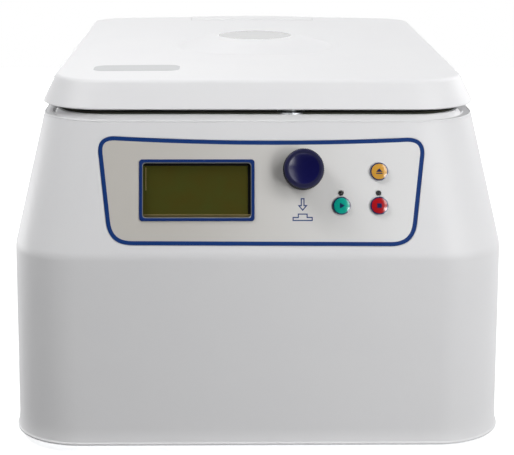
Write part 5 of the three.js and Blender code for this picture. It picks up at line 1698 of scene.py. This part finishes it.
@dataclass(frozen=True)
class CarriedNodes:
    """The CAD nodes that stay as they are, each with its finish and the bevel of its edges in millimetres."""

    finishes: tuple[tuple[Finish, tuple[str, ...]], ...] = (
        (ZINC_STEEL, ("base_plate", "rear_plate", "hinge_bracket", "hinge_arm_left", "hinge_arm_right",
                      "latch_bracket", "motor_mount_plate", "base_screw_front_left", "base_screw_front_right",
                      "base_screw_rear_left", "base_screw_rear_right")),
        (STEEL_STRAIGHT, ("hinge_pin", "latch_bolt", "motor_shaft", "encoder_shaft")),
        (BLACK_ABS, ("power_inlet", "rocker_frame", "power_rocker", "encoder_body", "encoder_plunger",
                     "switch_open", "switch_start", "switch_stop", "latch_motor")),
        (BLACK_RUBBER, ("motor_damper_1", "motor_damper_2", "motor_damper_3", "shaft_boot")),
        (MOTOR_PAINT, ("motor_body",)),
        (LAMINATIONS, ("transformer",)),
        (SOLDER_MASK, ("display_board", "drive_board")),
        (LCD_GLASS, ("display_module",)),
    )
    bevelled: tuple[str, ...] = ("power_inlet", "rocker_frame", "power_rocker", "rear_plate",
                                 "hinge_arm_left", "hinge_arm_right", "latch_bolt", "latch_bracket",
                                 "hinge_pin")
    bevel: float = 0.25

    def dress(self) -> None:
        """Gives each node its material, and a small bevel where it is seen from near."""
        for finish, names in self.finishes:
            for name in names:
                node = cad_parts[name]
                for slot in node.material_slots:
                    slot.material = finish.material()
                if name in self.bevelled:
                    add_bevel(node, self.bevel)
            log.info("%s: %d nodes", finish.name, len(names))


# Studio

@dataclass(frozen=True)
class Softbox:
    """One soft rectangular lamp. Places and sizes are in millimetres, power in watts."""

    name: str
    place: Spot
    aim: Spot
    size: Flat
    power: float

    def build(self) -> None:
        """Makes the lamp and points it at what it lights."""
        lamp = bpy.data.lights.new(self.name, "AREA")
        lamp.shape = "RECTANGLE"
        lamp.size, lamp.size_y = (reach * MM for reach in self.size)
        lamp.energy = self.power
        stand = placed(self.name, lamp)
        stand.location = Vector(self.place) * MM
        stand.rotation_mode = "QUATERNION"
        stand.rotation_quaternion = (Vector(self.aim) - Vector(self.place)).to_track_quat("-Z", "Y")


@dataclass(frozen=True)
class PhotoCamera:
    """The photograph's view: place in millimetres, angles in degrees, focal length in pixels."""

    place: Spot = (-18.59, -1141.44, 391.77)
    yaw: float = -1.035
    down: float = 14.169
    roll: float = 0.187
    focal: float = 1500.0
    sensor: float = 36.0
    clip_metres: Flat = (0.05, 30.0)

    def build(self) -> None:
        """Makes the camera and sets it as the scene's."""
        yaw, down, roll = (math.radians(angle) for angle in (self.yaw, self.down, self.roll))
        right = Vector((math.cos(yaw), math.sin(yaw), 0))
        ahead = Vector((-math.sin(yaw), math.cos(yaw), 0))
        up = Vector((0, 0, 1))
        forward = ahead * math.cos(down) - up * math.sin(down)
        upward = up * math.cos(down) + ahead * math.sin(down)
        side = right * math.cos(roll) + upward * math.sin(roll)
        crest = upward * math.cos(roll) - right * math.sin(roll)
        data = bpy.data.cameras.new("photo_camera")
        data.sensor_width = self.sensor
        data.lens = self.focal / IMAGE_WIDTH * self.sensor
        data.clip_start, data.clip_end = self.clip_metres
        stand = placed("photo_camera", data)
        turn = Matrix((side, crest, -forward)).transposed().to_4x4()
        stand.matrix_world = Matrix.Translation(Vector(self.place) * MM) @ turn
        bpy.context.scene.camera = stand


@dataclass
class Studio:
    """Pale floor, white surroundings, soft lamps, and a grey wall behind the camera for gloss to mirror."""

    ambient: float = 0.02
    floor_half: float = 1600.0
    thickness: float = 20.0
    wall_half: float = 2600.0
    wall_low: float = -1200.0
    wall_high: float = 3800.0
    wall_y: float = -2700.0
    lamps: tuple[Softbox, ...] = (
        Softbox("top_softbox", (0, 0, 1600), (0, 0, 200), (800, 800), 2.4),
        Softbox("left_softbox", (-900, -400, 1450), (-60, 0, 150), (700, 700), 14.0),
        Softbox("right_softbox", (900, -1000, 350), (60, -150, 90), (900, 700), 3.1),
        Softbox("high_right_softbox", (700, -1000, 900), (0, -100, 150), (600, 600), 5.3),
        Softbox("key_softbox", (640, -1250, 280), (30, -150, 150), (320, 320), 3.5),
        Softbox("side_softbox", (1000, 600, 700), (60, 0, 150), (700, 700), 6.3),
        Softbox("rear_softbox", (-300, 1150, 1100), (0, 0, 250), (700, 450), 2.6),
        Softbox("low_left_softbox", (-1300, 500, 110), (-60, 0, 110), (900, 220), 5.0),
        Softbox("low_rear_softbox", (-300, 1500, 110), (0, 0, 110), (900, 220), 6.5),
    )

    def build_world(self) -> None:
        """Makes the world: white where it is seen, and a dimmer even light elsewhere."""
        world = bpy.data.worlds.new("studio_white")
        world.use_nodes = True
        bpy.context.scene.world = world
        tree = world.node_tree
        back = tree.nodes["Background"]
        back.inputs["Color"].default_value = WHITE
        strength = add_node(tree, "ShaderNodeMapRange",
                            {"Value": seen_rays(tree), "To Min": self.ambient, "To Max": 1.0})
        tree.links.new(strength.outputs["Result"], back.inputs["Strength"])

    def build_floor(self) -> None:
        """Lays the pale floor."""
        half = self.floor_half
        mesh = Form().block((-half, -half, -self.thickness), (half, half, 0)).mesh("studio_floor")
        mesh.materials.append(WHITE_PAPER.material())
        floor = placed("studio_floor", mesh)

    def build_wall(self) -> None:
        """Stands a grey wall behind the camera. The camera doesn't see it, but dark gloss mirrors it."""
        half = self.wall_half
        form = Form().block((-half, self.wall_low, 0), (half, self.wall_high, self.thickness))
        form.moved(Matrix.Translation((0, self.wall_y, 0)) @ Matrix.Rotation(QUARTER, 4, "X"))
        mesh = form.mesh("studio_wall")
        mesh.materials.append(GREY_CARD.material())
        wall = placed("studio_wall", mesh)
        wall.visible_camera = False

    def build(self) -> None:
        """Builds the studio and sets how colours are shown."""
        self.build_world()
        self.build_floor()
        self.build_wall()
        PhotoCamera().build()
        for lamp in self.lamps:
            lamp.build()
        bpy.context.scene.view_settings.view_transform = "Standard"


def main() -> None:
    """Builds the classes in order."""
    logging.basicConfig(level=logging.INFO, format="%(message)s", stream=sys.stdout)
    Studio().build()
    panel = ControlPanel()
    Housing().build(panel)
    for assembly in (panel, Lid(), HingeCover(), Chamber(), Feet()):
        assembly.build()
    CarriedNodes().dress()


if __name__ == "__main__":
    main()
